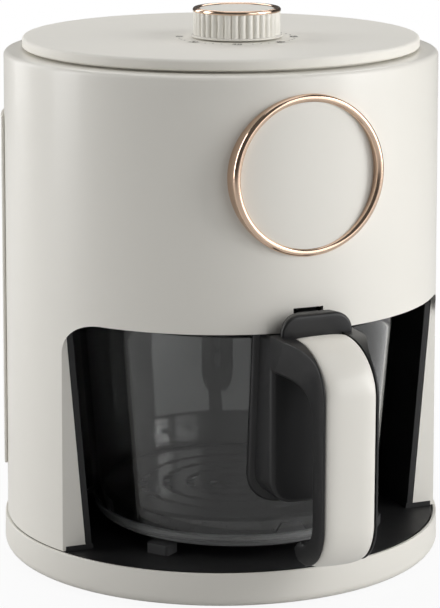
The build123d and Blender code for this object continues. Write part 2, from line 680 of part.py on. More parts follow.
def chamber_parts():
    """Shroud, insulation, guard, heater and its clips, over the deck."""
    roof = deck_top + shroud_h
    r_out = shroud_r + shroud_t
    shroud = tube(r_out, shroud_r, deck_top, roof, core_y)
    shroud = shroud + tube(r_out + blanket_t + 1, shroud_r, deck_top, deck_top + shroud_t, core_y)
    shroud = shroud + tube(r_out, shaft_r + 3, roof - shroud_t, roof, core_y)
    for x, y in heater_legs():
        shroud = shroud - rod(heater_tube + 0.3, roof - 4, roof + 4, x, y)
    pieces["chamber_shroud"] = shroud
    pieces["insulation"] = tube(r_out + 0.2 + blanket_t, r_out + 0.2, deck_top + shroud_t, roof, core_y)

    r_guard = (mouth_r + shroud_r) / 2 + 1.5
    guard = rod(r_guard, deck_top, deck_top + guard_t, 0, core_y)
    pitch = (mouth_r - 10.0) / guard_rings
    bar = block(-guard_bar / 2, guard_bar / 2, core_y, core_y + r_guard, deck_top - 4, deck_top + 4)
    for row in range(guard_rings):
        inner = 10.0 + row * pitch
        cut = tube(inner + pitch - guard_bar, inner, deck_top - 3, deck_top + 3, core_y)
        for rib in around(bar, 6, 30.0 * row, core_y):
            cut = cut - rib
        guard = guard - cut
    pieces["fan_guard"] = guard

    pieces["heater_coil"] = heater()
    under = heater_z - heater_tube - 0.2
    r_post = heater_reach()[-1] + heater_tube + 3.0
    clips = []
    for k in range(clip_count):
        strap = block(-3, 3, core_y + 8, core_y + r_post + 2, under - 1.4, under)
        post = rod(2.0, under - 1.4, roof - shroud_t, 0, core_y + r_post)
        spot = Pos(0, core_y, 0) * Rot(0, 0, 90 + 360.0 * k / clip_count) * Pos(0, -core_y, 0)
        clips.append(spot * (strap + post))
    pieces["heater_clips"] = Compound(children=clips)
    cutout = rod(8, roof + 1, roof + 5.5, 44, core_y) + rod(10, roof, roof + 1, 44, core_y)
    pieces["thermal_cutout"] = cutout


def drive_parts():
    """Hot-air fan, shaft, heat shield on posts, cooling fan, bracket and shaded-pole motor."""
    fan_z = heater_z + heater_tube + 6
    hub = rod(9, fan_z, fan_z + fan_h, 0, core_y)
    disc = rod(fan_r, fan_z + fan_h - 1.2, fan_z + fan_h, 0, core_y)
    blade = block(-0.6, 0.6, core_y - fan_r, core_y - 8, fan_z, fan_z + fan_h - 1)
    spot = Pos(0, core_y - fan_r, 0) * Rot(0, 0, 9) * Pos(0, -core_y + fan_r, 0)
    fan = fuse([hub, disc] + around(spot * blade, fan_blades, 0, core_y))
    pieces["hot_fan"] = fan - rod(shaft_r, fan_z - 1, fan_z + fan_h + 1, 0, core_y)
    pieces["fan_shaft"] = rod(shaft_r, fan_z - 4.5, motor_z + motor_h + 6, 0, core_y)
    nut = extrude(Pos(0, core_y, fan_z - 4) * RegularPolygon(5.5, 6), amount=4)
    pieces["fan_nut"] = nut - rod(shaft_r, fan_z - 9, fan_z + 1, 0, core_y)

    shield = rod(shield_r, shield_z - shield_t, shield_z)
    shield = shield - rod(12, shield_z - 5, shield_z + 5, 0, core_y)
    for x, y in heater_legs():
        shield = shield - rod(heater_tube + 2, shield_z - 5, shield_z + 5, x, y)
    posts = []
    for x, y in spread(2, shield_r - 6, 30) + spread(2, shield_r - 6, 150):
        shield = shield - rod(screw_r + 0.2, shield_z - 5, shield_z + 5, x, y)
        post = rod(3.5, deck_top, shield_z - shield_t, x, y)
        posts.append(post + rod(screw_r, shield_z - shield_t, shield_z + 1.5, x, y))
    pieces["heat_shield"] = shield
    pieces["shield_posts"] = Compound(children=posts)

    cool_z = shield_z + 3
    hub = rod(8, cool_z, cool_z + cool_h, 0, core_y)
    blade = block(-0.8, 0.8, core_y - cool_r, core_y - 7, cool_z + 1, cool_z + cool_h - 1)
    fan = fuse([hub] + around(blade, cool_blades, 0, core_y))
    pieces["cooling_fan"] = fan - rod(shaft_r, cool_z - 1, cool_z + cool_h + 1, 0, core_y)

    leg = cool_r + 5
    y0, y1 = core_y - 9, core_y + 14
    bracket = block(-leg, leg, y0, y1, motor_z - 1.5, motor_z)
    bracket = bracket - rod(shaft_r + 3, motor_z - 4, motor_z + 4, 0, core_y)
    for side in (-1, 1):
        inner, outer = sorted((side * (leg - 1.5), side * leg))
        near, far = sorted((side * leg, side * (leg + 10)))
        bracket = bracket + block(inner, outer, y0, y1, shield_z, motor_z)
        bracket = bracket + block(near, far, y0, y1, shield_z, shield_z + 1.5)
    pieces["motor_bracket"] = bracket

    top = motor_z + motor_h
    front = core_y - motor_half - 4
    core = block(-motor_half, motor_half, front, core_y + 26, motor_z, top)
    frame_d = 10.0
    core = core - block(-window_half, window_half, front + frame_d, front + frame_d + window_d,
                        motor_z - 1, top + 1)
    pieces["motor_core"] = core - rod(shaft_r + running, motor_z - 1, top + 1, 0, core_y)
    half = window_half - 0.5
    coil = block(-half, half, front - 9, front + frame_d + window_d - 0.5, motor_z - 5, top + 5)
    coil = fillet(coil.edges().filter_by(Axis.X), 3)
    pieces["motor_coil"] = coil - block(-half - 1, half + 1, front - 0.1, front + frame_d + 0.1,
                                        motor_z - 0.1, top + 0.1)


def switch_parts():
    """Door switch with its plunger, and the terminal block, on the deck."""
    front = switch_y
    half = plunger_half + 0.3
    case = block(-10, 10, front, front + switch_d, deck_top, deck_top + switch_h)
    case = case - block(-half, half, front - 1, front + 7.5, tab_z - half, tab_z + half)
    pieces["microswitch"] = case
    pieces["switch_plunger"] = block(-plunger_half, plunger_half, tab_tip + pot_gap, front + 5.0,
                                     tab_z - plunger_half, tab_z + plunger_half)
    back = drum_r(deck_top) - wall - term_gap
    term = block(-16, 16, back - 12, back, deck_top, deck_top + term_h)
    for k in range(4):
        term = term - rod(2.4, deck_top + 6, deck_top + term_h + 1, -12 + 8 * k, back - 6)
    pieces["terminal_block"] = term


def vent_back():
    """How far forward the exhaust window reaches behind the drum's wall, as y."""
    return min(drum_r(vent_z0), drum_r(vent_z1)) - 20.0


def rear_screw_spots():
    """Places of the rear cover's four screws, each on the cover's face and square to it."""
    spots = []
    for z in (rear_z0 + 14, rear_z1 - 14):
        for turn in (-rear_screw_angle, rear_screw_angle):
            reach = drum_r(z) + rear_proud
            spots.append(Rot(0, 0, turn) * Pos(0, reach, z) * Rot(90, 0, 0))
    return spots


def rear_parts():
    """Proud rear cover with its exhaust window, grille, cord gland and screws."""
    z0, z1 = rear_z0, rear_z1
    band = drum_solid(-rear_proud, z0, z1) - drum_solid(-0.1, z0 - 1, z1 + 1)
    far = reach + 5
    a = math.radians(90 - rear_half_angle)
    wedge = Polyline((0, 0), (far * math.cos(a), far * math.sin(a)), (far, far * 2),
                     (-far, far * 2), (-far * math.cos(a), far * math.sin(a)), close=True)
    cover = band & extrude(make_face(wedge), amount=400)
    face = Pos(0, (vent_z0 + vent_z1) / 2) * RectangleRounded(2 * vent_half, vent_z1 - vent_z0, 5)
    cover = cover - front_prism(face, vent_back() - 20, reach + 15)
    hole = Pos(0, drum_r(gland_z), gland_z) * Rot(90, 0, 0) * Cylinder(gland_r - 2, 30)
    cover = cover - hole
    screws = []
    for spot in rear_screw_spots():
        cover = cover - spot * Cylinder(head_r + 0.3, 2.4)
        cover = cover - spot * Cylinder(screw_r + 0.1, 20)
        head = spot * Pos(0, 0, 0.3) * Cylinder(head_r, 1.6)
        screws.append(head + spot * Pos(0, 0, 3) * Cylinder(screw_r, 6))
    pieces["rear_cover"] = cover
    pieces["rear_screws"] = Compound(children=screws)
    grow = 0.2
    frame = front_prism(Pos(0, (vent_z0 + vent_z1) / 2)
                        * RectangleRounded(2 * (vent_half - grow), vent_z1 - vent_z0 - 2 * grow, 4.8),
                        vent_back() + 8, reach + 15)
    hollow = front_prism(Pos(0, (vent_z0 + vent_z1) / 2)
                         * RectangleRounded(2 * (vent_half - 3), vent_z1 - vent_z0 - 6, 3),
                         vent_back() - 20, reach + 25)
    skin = drum_solid(-rear_proud + 0.2, z0, z1) - drum_solid(wall + 1.5, z0 - 1, z1 + 1)
    grille = frame - hollow
    pitch = (vent_z1 - vent_z0 - 6) / vent_bars
    for k in range(1, vent_bars):
        z = vent_z0 + 3 + k * pitch
        slat = Pos(0, drum_r(z) - 1, z) * Rot(-32, 0, 0) * Box(2 * vent_half - 4, 26, 1.6)
        grille = grille + slat
    mullion = block(-1.2, 1.2, vent_back() + 8, reach + 3, vent_z0 + 1, vent_z1 - 1)
    pieces["exhaust_grille"] = (grille + mullion) & skin
    y_face = drum_r(gland_z) + rear_proud
    gland = spun([(gland_bore, -8), (gland_r - 2.2, -8), (gland_r - 2.2, 0.4), (gland_r, 0.4),
                  (gland_r, 2.0), (gland_r - 1.5, 5.0), (gland_bore + 1.2, 7.0), (gland_bore, 7.0)])
    pieces["cord_gland"] = Pos(0, y_face, gland_z) * Rot(-90, 0, 0) * gland


def build():
    """Make every piece, set the origin under the middle and write one file for each."""
    pieces["outer_shell"] = outer_shell()
    base_parts()
    bay_parts()
    pot_parts()
    handle_parts()
    top_parts()
    accent_parts()
    chamber_parts()
    drive_parts()
    switch_parts()
    rear_parts()
    reach_front = grip_out + cover_t
    reach_back = pieces["cord_gland"].bounding_box().max.Y
    shift = (reach_front - reach_back) / 2
    os.makedirs("parts", exist_ok=True)
    for name, shape in pieces.items():
        export_step(Pos(0, shift, 0) * shape, f"parts/{name}.step")
    print(f"origin shift {shift:.3f} mm, least gap between heater turns {heater_gap():.2f} mm")


build()
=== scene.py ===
import logging
import math
from dataclasses import dataclass
from enum import Enum
from typing import Optional, Sequence

import bpy
import numpy as np
from mathutils import Matrix, Vector


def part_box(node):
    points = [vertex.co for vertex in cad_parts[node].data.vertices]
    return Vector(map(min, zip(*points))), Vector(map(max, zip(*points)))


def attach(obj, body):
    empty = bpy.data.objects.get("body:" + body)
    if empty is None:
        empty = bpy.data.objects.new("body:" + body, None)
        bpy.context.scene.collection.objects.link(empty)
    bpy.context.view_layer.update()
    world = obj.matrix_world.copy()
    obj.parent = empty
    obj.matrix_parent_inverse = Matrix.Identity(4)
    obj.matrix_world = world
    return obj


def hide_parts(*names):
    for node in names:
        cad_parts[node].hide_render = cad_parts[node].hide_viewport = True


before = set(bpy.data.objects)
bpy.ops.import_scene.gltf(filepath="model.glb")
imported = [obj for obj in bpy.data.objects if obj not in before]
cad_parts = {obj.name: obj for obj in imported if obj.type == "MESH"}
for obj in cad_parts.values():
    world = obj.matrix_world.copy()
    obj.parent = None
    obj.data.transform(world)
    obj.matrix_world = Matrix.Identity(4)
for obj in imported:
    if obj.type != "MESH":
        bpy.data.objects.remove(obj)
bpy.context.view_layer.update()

LOG = logging.getLogger("fryer")
Array = np.ndarray
Colour = tuple[float, float, float]
Span = tuple[float, float]
MM = 1000.0  # millimetres in a metre
MICRONS = 1e6  # microns in a metre
NOISE_SPAN: Span = (0.3, 0.7)  # most values of a noise texture lie in here
MADE: dict[str, bpy.types.Material] = {}


class Body(Enum):
    """Moving bodies that the scene's own pieces ride on, as the record names them."""

    HOUSING = "housing"
    POT = "pot"
    KNOB = "knob"


# ---------------------------------------------------------------- finishes


class Nodes:
    """Adds and links the shader nodes of a material or a world."""

    def __init__(self, owner: bpy.types.ID, output: str) -> None:
        """Start an empty tree with its output.

        Args:
            owner: the material or world that holds the tree.
            output: Blender's type of the output node.
        """
        owner.use_nodes = True
        self.owner = owner
        self.tree = owner.node_tree
        self.tree.nodes.clear()
        self.output = self.add(output)

    def add(self, kind: str, **values: object) -> bpy.types.Node:
        """Add a node and set its properties.

        Args:
            kind: Blender's node type.
            values: attribute names and values to set on the node.

        Returns:
            The new node.
        """
        node = self.tree.nodes.new(kind)
        for key, value in values.items():
            setattr(node, key, value)
        return node

    def link(self, source: bpy.types.Node, out: object, target: bpy.types.Node, into: object) -> None:
        """Link an output to an input; both are given by name or by number."""
        self.tree.links.new(source.outputs[out], target.inputs[into])

    def place(self, scale: tuple[float, float, float] = (1.0, 1.0, 1.0)) -> bpy.types.Node:
        """Object coordinates through a Mapping node with the given scale."""
        where = self.add("ShaderNodeTexCoord")
        mapping = self.add("ShaderNodeMapping")
        mapping.inputs["Scale"].default_value = scale
        self.link(where, "Object", mapping, "Vector")
        return mapping

    def noise(self, mapping: bpy.types.Node, scale: float, detail: float = 3.0) -> bpy.types.Node:
        """Noise texture on a mapping.

        Args:
            mapping: node that gives the coordinates.
            scale: lumps in a metre, about.
            detail: octaves of finer noise on top.

        Returns:
            The texture node, whose factor is used.
        """
        node = self.add("ShaderNodeTexNoise")
        node.inputs["Scale"].default_value = scale
        node.inputs["Detail"].default_value = detail
        self.link(mapping, "Vector", node, "Vector")
        return node

    def remap(self, source: bpy.types.Node, out: str, span: Span, onto: Span) -> bpy.types.Node:
        """Map one range linearly onto another, and stop at its ends.

        Args:
            source: node that gives the value.
            out: name of its output.
            span: range of the value.
            onto: range that it is carried onto.

        Returns:
            The Map Range node.
        """
        node = self.add("ShaderNodeMapRange")
        for key, value in zip(("From Min", "From Max", "To Min", "To Max"), (*span, *onto)):
            node.inputs[key].default_value = value
        self.link(source, out, node, "Value")
        return node


class Shader(Nodes):
    """Nodes of a new material round one Principled shader."""

    def __init__(self, name: str) -> None:
        """Start the material with its output and shader, under the given name."""
        super().__init__(bpy.data.materials.new(name), "ShaderNodeOutputMaterial")
        self.shader = self.add("ShaderNodeBsdfPrincipled")
        self.link(self.shader, "BSDF", self.output, "Surface")

    def set(self, **values: object) -> None:
        """Set the shader's own sockets, with underscores for the spaces in their names."""
        for key, value in values.items():
            self.shader.inputs[key.replace("_", " ")].default_value = value

    def tint(self, source: bpy.types.Node, first: Colour, second: Colour, span: Span = NOISE_SPAN) -> None:
        """Base colour that goes from one colour to another over a noise factor.

        Args:
            source: the noise texture.
            first: colour at the start of the span and below it.
            second: colour at its end and above it.
            span: range of the factor over which the colour changes.
        """
        ramp = self.add("ShaderNodeValToRGB")
        for element, position, colour in zip(ramp.color_ramp.elements, span, (first, second)):
            element.position = position
            element.color = (*colour, 1.0)
        self.link(source, "Fac", ramp, "Fac")
        self.link(ramp, "Color", self.shader, "Base Color")

    def roughen(self, source: bpy.types.Node, low: float, high: float) -> None:
        """Roughness between two values over a noise factor."""
        self.link(self.remap(source, "Fac", NOISE_SPAN, (low, high)), "Result", self.shader, "Roughness")

    def bump(self, source: bpy.types.Node, strength: float, depth: float) -> None:
        """Bump from a texture's factor into the shader's normal, with its depth in metres."""
        node = self.add("ShaderNodeBump")
        node.inputs["Strength"].default_value = strength
        node.inputs["Distance"].default_value = depth
        self.link(source, "Fac", node, "Height")
        self.link(node, "Normal", self.shader, "Normal")


def linear(red: int, green: int, blue: int) -> Colour:
    """Linear colour from 8-bit display values.

    The display's curve: c / 12.92 up to 0.04045, and ((c + 0.055) / 1.055) to the power of 2.4 above it.

    Args:
        red: red value, 0 to 255.
        green: green value, 0 to 255.
        blue: blue value, 0 to 255.

    Returns:
        The three linear values.
    """
    values = np.array([red, green, blue]) / 255.0
    low, high = values / 12.92, ((values + 0.055) / 1.055) ** 2.4
    return tuple(float(v) for v in np.where(values <= 0.04045, low, high))


def darker(colour: Colour, share: float) -> Colour:
    """The colour with a share of its light taken away."""
    return tuple(c * (1.0 - share) for c in colour)


@dataclass(frozen=True)
class Finish:
    """A surface finish that makes its material once."""

    name: str
    slot: str

    def paint(self, nodes: Shader) -> None:
        """Fill in the shader."""
        raise NotImplementedError

    def material(self) -> bpy.types.Material:
        """The finish's material, made on first use."""
        if self.name not in MADE:
            nodes = Shader(f"{self.name}_finish")
            self.paint(nodes)
            MADE[self.name] = nodes.owner
        return MADE[self.name]


@dataclass(frozen=True)
class Plastic(Finish):
    """Moulded plastic: an even colour with a faint cloudiness, a fine skin and a soft gloss."""

    colour: Colour
    roughness: float
    coat: float = 0.0
    grain: float = 1300.0
    depth: float = 0.00006
    cloud: float = 0.1
    cloud_scale: float = 9.0
    gloss_scale: float = 60.0
    gloss_span: Span = (0.93, 1.07)
    skin: float = 0.25
    coat_roughness: float = 0.12
    ior: float = 1.5

    def paint(self, nodes: Shader) -> None:
        """Colour and roughness from slow noises, bump from a fine one."""
        where = nodes.place()
        nodes.tint(nodes.noise(where, self.cloud_scale, 2.0), darker(self.colour, self.cloud), self.colour)
        gloss = nodes.noise(where, self.gloss_scale)
        nodes.roughen(gloss, *(self.roughness * share for share in self.gloss_span))
        nodes.bump(nodes.noise(where, self.grain, 2.0), self.skin, self.depth)
        nodes.set(Coat_Weight=self.coat, Coat_Roughness=self.coat_roughness, IOR=self.ior)


@dataclass(frozen=True)
class Metal(Finish):
    """Bare or plated metal with drawn lines along one axis."""

    colour: Colour
    roughness: float
    lines: tuple[float, float, float] = (40.0, 40.0, 1600.0)
    depth: float = 0.00002
    cloud: float = 0.07
    cloud_scale: float = 30.0
    gloss_span: Span = (0.8, 1.25)
    skin: float = 0.15

    def paint(self, nodes: Shader) -> None:
        """Stretched noise gives the drawn lines in roughness and bump."""
        drawn = nodes.noise(nodes.place(self.lines), 1.0)
        slow = nodes.noise(nodes.place(), self.cloud_scale, 2.0)
        nodes.tint(slow, darker(self.colour, self.cloud), self.colour)
        nodes.roughen(drawn, *(self.roughness * share for share in self.gloss_span))
        nodes.bump(drawn, self.skin, self.depth)
        nodes.set(Metallic=1.0)


@dataclass(frozen=True)
class Coated(Finish):
    """Dark non-stick coating with fine speckle over steel."""

    colour: Colour = (0.004, 0.004, 0.0045)
    speckle: Colour = (0.03, 0.03, 0.032)
    sparse: Span = (0.62, 0.72)
    roughness: float = 0.24
    grain: float = 1400.0
    skin: float = 0.3
    depth: float = 0.00003

    def paint(self, nodes: Shader) -> None:
        """A steep ramp over a fine noise gives sparse pale specks."""
        fine = nodes.noise(nodes.place(), self.grain, 1.0)
        nodes.tint(fine, self.colour, self.speckle, self.sparse)
        nodes.bump(fine, self.skin, self.depth)
        nodes.set(Roughness=self.roughness, Specular_IOR_Level=0.5)


@dataclass(frozen=True)
class Glass(Finish):
    """Clear borosilicate glass with a trace of unevenness."""

    colour: Colour = (0.985, 0.995, 0.99)
    ior: float = 1.47
    # painted reflection: low on the foot the white base colour shows through, from clear_share transmission
    # up to full transmission over these heights in metres
    painted_arc_z: Span = (0.031, 0.040)
    clear_share: float = 0.62
    wave_scale: float = 9.0
    skin: float = 0.02
    depth: float = 0.0001

    def paint(self, nodes: Shader) -> None:
        """Full transmission above the foot, and a shallow bump like pressed glass. At the foot part of the
        transmission gives way to the white base colour: a painted reflection of the pale floor, seen as a
        light arc.

        The transmission rises from clear_share to 1 over the heights of the painted arc, in metres.
        """
        nodes.bump(nodes.noise(nodes.place(), self.wave_scale, 0.0), self.skin, self.depth)
        parts = nodes.add("ShaderNodeSeparateXYZ")
        nodes.link(nodes.place(), "Vector", parts, "Vector")
        clear = nodes.remap(parts, "Z", self.painted_arc_z, (self.clear_share, 1.0))
        nodes.link(clear, "Result", nodes.shader, "Transmission Weight")
        nodes.set(Base_Color=(*self.colour, 1.0), Roughness=0.0, IOR=self.ior)


@dataclass(frozen=True)
class Wool(Finish):
    """Mineral wool blanket."""

    colour: Colour = (0.62, 0.56, 0.40)
    shade: float = 0.3
    lay: tuple[float, float, float] = (1.0, 1.0, 6.0)
    fibre: float = 220.0
    skin: float = 0.8
    depth: float = 0.0006

    def paint(self, nodes: Shader) -> None:
        """Streaky fibres in colour and bump."""
        fibre = nodes.noise(nodes.place(self.lay), self.fibre, 5.0)
        nodes.tint(fibre, darker(self.colour, self.shade), self.colour)
        nodes.bump(fibre, self.skin, self.depth)
        nodes.set(Roughness=0.95, Sheen_Weight=0.2)


CREAM = Plastic("cream_plastic", "cream_plastic", linear(238, 235, 227), roughness=0.36, coat=0.15,
                grain=700.0, depth=0.00002, cloud=0.02)
CREAM_SATIN = Plastic("cream_satin", "cream_plastic", linear(239, 236, 228), roughness=0.62, grain=700.0,
                      depth=0.00003, cloud=0.02)
BLACK = Plastic("black_plastic", "black_plastic", linear(24, 24, 25), roughness=0.40, grain=1500.0,
                depth=0.00005)
BLACK_MATT = Plastic("black_matt", "black_plastic", linear(21, 21, 22), roughness=0.5, cloud=0.12)
SILICONE = Plastic("silicone", "silicone", linear(58, 58, 59), roughness=0.6, grain=1200.0, cloud=0.08)
RUBBER = Plastic("rubber", "rubber", linear(46, 46, 47), roughness=0.7, depth=0.00008)
INK = Plastic("dial_ink", "cream_plastic", linear(28, 26, 24), roughness=0.5, grain=1500.0, depth=0.00001,
              cloud=0.05)
ROSE = Metal("rose_metal", "rose_metal", linear(236, 206, 182), roughness=0.14, lines=(60.0, 60.0, 60.0),
             depth=0.00001)
ZINC = Metal("zinc_steel", "zinc_steel", linear(176, 178, 182), roughness=0.34)
SHEET = Metal("sheet_steel", "sheet_steel", linear(186, 187, 188), roughness=0.30, lines=(900.0, 30.0, 900.0))
ELEMENT = Metal("element_steel", "element_steel", linear(96, 92, 88), roughness=0.5,
                lines=(300.0, 300.0, 300.0), depth=0.00004)
COATING = Coated("non_stick", "coated_steel")
CLEAR = Glass("pot_glass", "pot_glass")
WOOL = Wool("mineral_wool", "mineral_wool")

NODE_FINISH: dict[Finish, tuple[str, ...]] = {
    CREAM: ("outer_shell", "base_ring", "rear_cover", "knob_body", "accent_disc", "grip_cover",
            "terminal_block"),
    CREAM_SATIN: ("top_cover", "knob_cap"),
    BLACK: ("handle_frame", "hood", "timer_body", "cooling_fan", "motor_coil", "microswitch",
            "switch_plunger", "exhaust_grille", "cord_gland"),
    BLACK_MATT: ("base_tray", "bottom_plate", "cavity_liner"),
    SILICONE: ("pot_pads", "mouth_seal", "plate_bumpers", "handle_gasket"),
    RUBBER: ("feet",),
    ROSE: ("knob_ring", "accent_ring"),
    ZINC: ("base_screws", "timer_screws", "handle_screws", "rear_screws", "timer_spindle", "fan_shaft",
           "fan_nut", "shield_posts", "thermal_cutout"),
    SHEET: ("deck_ring", "chamber_shroud", "fan_guard", "heater_clips", "hot_fan", "heat_shield",
            "motor_bracket"),
    ELEMENT: ("heater_coil", "motor_core"),
    COATING: ("crisper_plate",),
    CLEAR: ("glass_pot",),
    WOOL: ("insulation",),
}

# ---------------------------------------------------------------- surfaces

DRUM_Y = sum(corner.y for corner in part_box("base_ring")) / 2  # the drum's axis in the shared frame


def placed(name: str, data: bpy.types.ID) -> bpy.types.Object:
    """A new object with its data, in the scene's own collection."""
    piece = bpy.data.objects.new(name, data)
    bpy.context.scene.collection.objects.link(piece)
    return piece


class Surface:
    """Grids of points, in millimetres about the drum's axis, that become one welded mesh."""

    def __init__(self) -> None:
        """Start with no points."""
        self.points: list[Array] = []
        self.faces: list[Array] = []
        self.count = 0

    def add(self, grid: Array, round_u: bool = False, round_v: bool = False, flip: bool = False,
            keep: Optional[Array] = None) -> "Surface":
        """Add a grid of points as quads.

        Args:
            grid: points of shape (rows, columns, 3).
            round_u: the columns close on themselves.
            round_v: the rows close on themselves.
            flip: turn the faces over.
            keep: which quads to keep, as booleans of shape (rows, columns), or all of them.

        Returns:
            The surface itself.
        """
        rows, cols = grid.shape[:2]
        index = np.arange(rows * cols).reshape(rows, cols) + self.count
        right = np.roll(index, -1, axis=1)
        down = np.roll(index, -1, axis=0)
        both = np.roll(right, -1, axis=0)
        quads = np.stack([index, right, both, down], axis=-1)
        mask = np.ones((rows, cols), bool) if keep is None else keep.copy()
        if not round_u:
            mask[:, -1] = False
        if not round_v:
            mask[-1, :] = False
        quads = quads[mask]
        self.faces.append(quads[:, ::-1] if flip else quads)
        self.points.append(grid.reshape(-1, 3))
        self.count += rows * cols
        return self

    def mirrored(self, grid: Array) -> None:
        """Add a grid and its mirror image across the middle plane, whose faces are turned over."""
        self.add(grid)
        self.add(grid * np.array([-1.0, 1.0, 1.0]), flip=True)

    def welded(self) -> tuple[Array, Array, Array]:
        """Weld the grids into points that differ by a micron or more.

        Quads whose corners fall together at one place become triangles, and those that lose more are dropped.

        Returns:
            Points in metres in the shared frame, quads, and triangles.
        """
        points = np.concatenate(self.points) / MM
        points[:, 1] += DRUM_Y
        faces = np.concatenate(self.faces)
        cells = np.round(points * MICRONS).astype(np.int64)
        _, first, inverse = np.unique(cells, axis=0, return_index=True, return_inverse=True)
        points, faces = points[first], inverse.reshape(-1)[faces]
        same = faces == np.roll(faces, -1, axis=1)
        lost = same.sum(axis=1)
        return points, faces[lost == 0], faces[lost == 1][~same[lost == 1]].reshape(-1, 3)

    def mesh(self, name: str, sharp: float) -> bpy.types.Mesh:
        """The welded grids as a smooth mesh.

        Args:
            name: the mesh's name.
            sharp: edges over this angle in degrees stay sharp.

        Returns:
            The new mesh.
        """
        points, quads, tris = self.welded()
        mesh = bpy.data.meshes.new(name)
        mesh.vertices.add(len(points))
        mesh.vertices.foreach_set("co", points.astype(np.float32).ravel())
        loops = np.concatenate([quads.ravel(), tris.ravel()]).astype(np.int32)
        mesh.loops.add(len(loops))
        mesh.loops.foreach_set("vertex_index", loops)
        starts = np.concatenate([np.arange(len(quads)) * 4, len(quads) * 4 + np.arange(len(tris)) * 3])
        mesh.polygons.add(len(starts))
        mesh.polygons.foreach_set("loop_start", starts.astype(np.int32))
        mesh.update(calc_edges=True)
        mesh.validate()
        mesh.shade_smooth()
        mesh.set_sharp_from_angle(angle=math.radians(sharp))
        return mesh

    def build(self, name: str, finish: Finish, body: Body, nodes: Sequence[str] = (), bevel: float = 0.0,
              wall: float = 0.0, sharp: float = 35.0) -> bpy.types.Object:
        """Make the surface a piece of the fryer.

        Args:
            name: the piece's name.
            finish: its finish.
            body: the body it rides on.
            nodes: CAD nodes that it stands for.
            bevel: width of the edge rounding in millimetres, or 0.
            wall: thickness given inwards in millimetres, or 0.
            sharp: edges over this angle in degrees stay sharp.

        Returns:
            The new object.
        """
        mesh = self.mesh(name, sharp)
        piece = placed(name, mesh)
        mesh.materials.append(finish.material())
        if wall:
            solid = piece.modifiers.new("wall", "SOLIDIFY")
            solid.thickness = wall / MM
            solid.offset = -1.0
            solid.use_even_offset = True
        if bevel:
            edge = piece.modifiers.new("edge", "BEVEL")
            edge.width = bevel / MM
            edge.segments = 3
            edge.limit_method = "ANGLE"
            edge.angle_limit = math.radians(sharp)
            edge.harden_normals = True
            edge.use_clamp_overlap = True
        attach(piece, body.value)
        if nodes:
            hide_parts(*nodes)
        LOG.info("%s: %d points, %d faces, rides on %s", name, len(mesh.vertices), len(mesh.polygons),
                 body.value)
        return piece


def xyz(x: Array, y: Array, z: Array) -> Array:
    """Points from their three coordinates, which are stretched to one shape."""
    return np.stack(np.broadcast_arrays(x, y, z), axis=-1)


def around(r: Array, angle: Array, z: Array, y: float = 0.0) -> Array:
    """Points about an upright axis at y: x = r sin(a), y less r cos(a), with a counted from the front."""
    return xyz(r * np.sin(angle), y - r * np.cos(angle), z)


def turned(profile: Array, steps: int, y: float = 0.0) -> Array:
    """Surface of revolution: each (r, z) goes once round the upright axis at y.

    Args:
        profile: array of (r, z), from the outside's foot upwards and over.
        steps: columns round the axis.
        y: place of the axis.

    Returns:
        Grid of shape (len(profile), steps, 3).
    """
    angle = np.linspace(0.0, 2 * np.pi, steps, endpoint=False)
    return around(profile[:, :1], angle, profile[:, 1:], y)


def arc(centre: Sequence[float], radius: Sequence[float], start: float, stop: float, steps: int) -> Array:
    """Points of an elliptical arc: centre plus (a cos t, b sin t).

    Args:
        centre: the ellipse's middle.
        radius: its half axes a and b.
        start: first value of t, in degrees.
        stop: last value of t, in degrees.
        steps: steps between them.

    Returns:
        Array of shape (steps + 1, 2).
    """
    angle = np.radians(np.linspace(start, stop, steps + 1))
    return np.stack([centre[0] + radius[0] * np.cos(angle), centre[1] + radius[1] * np.sin(angle)], axis=-1)


def join(*runs: object) -> Array:
    """One profile from points and runs of points."""
    return np.concatenate([np.atleast_2d(np.asarray(run, float)) for run in runs])


def line(start: Sequence[float], stop: Sequence[float], steps: int = 30) -> Array:
    """Points of a straight run after its start: start (1 - s) plus stop s, with s up to 1."""
    share = np.linspace(0, 1, steps)[1:, None]
    return np.array(start) * (1 - share) + np.array(stop) * share


def box_outline(half: Array, low: Array, high: Array, r_low: Array, r_high: Array, steps: int = 8) -> Array:
    """Outline of a box with rounded corners, clockwise from the lower right.

    Each corner is a quarter circle about its own centre. A size may hold one value for each row.

    Args:
        half: half width.
        low: lower edge.
        high: upper edge.
        r_low: radius of both lower corners.
        r_high: radius of both upper corners.
        steps: steps in each corner.

    Returns:
        Array of shape (rows, points, 2).
    """
    half, low, high, r_low, r_high = [np.reshape(np.asarray(v, float), (-1, 1))
                                      for v in np.broadcast_arrays(half, low, high, r_low, r_high)]
    runs = []
    for side, level, radius, start in ((1, low, r_low, 270), (1, high, r_high, 0), (-1, high, r_high, 90),
                                       (-1, low, r_low, 180)):
        angle = np.radians(np.linspace(start, start + 90, steps + 1))[None, :]
        inward = 1 if start in (270, 180) else -1
        x = side * (half - radius) + radius * np.cos(angle)
        z = level + inward * radius + radius * np.sin(angle)
        runs.append(np.stack(np.broadcast_arrays(x, z), axis=-1))
    return np.concatenate(runs, axis=1)


def capped(grid: Array, stop: bool = True) -> Array:
    """Close a tube-like grid with a point in the middle of its first row, and of its last one if asked."""
    first = np.broadcast_to(grid[0].mean(axis=0), grid[:1].shape)
    last = np.broadcast_to(grid[-1].mean(axis=0), grid[:1].shape)
    return np.concatenate([first, grid, last] if stop else [first, grid])


def shrunk(grid: Array, middle: Sequence[float], shares: Sequence[float]) -> Array:
    """The grid with its last row drawn in towards a middle, once for each share of its size."""
    middle = np.array(middle)
    return np.concatenate([grid, np.stack([middle + (grid[-1] - middle) * share for share in shares])])


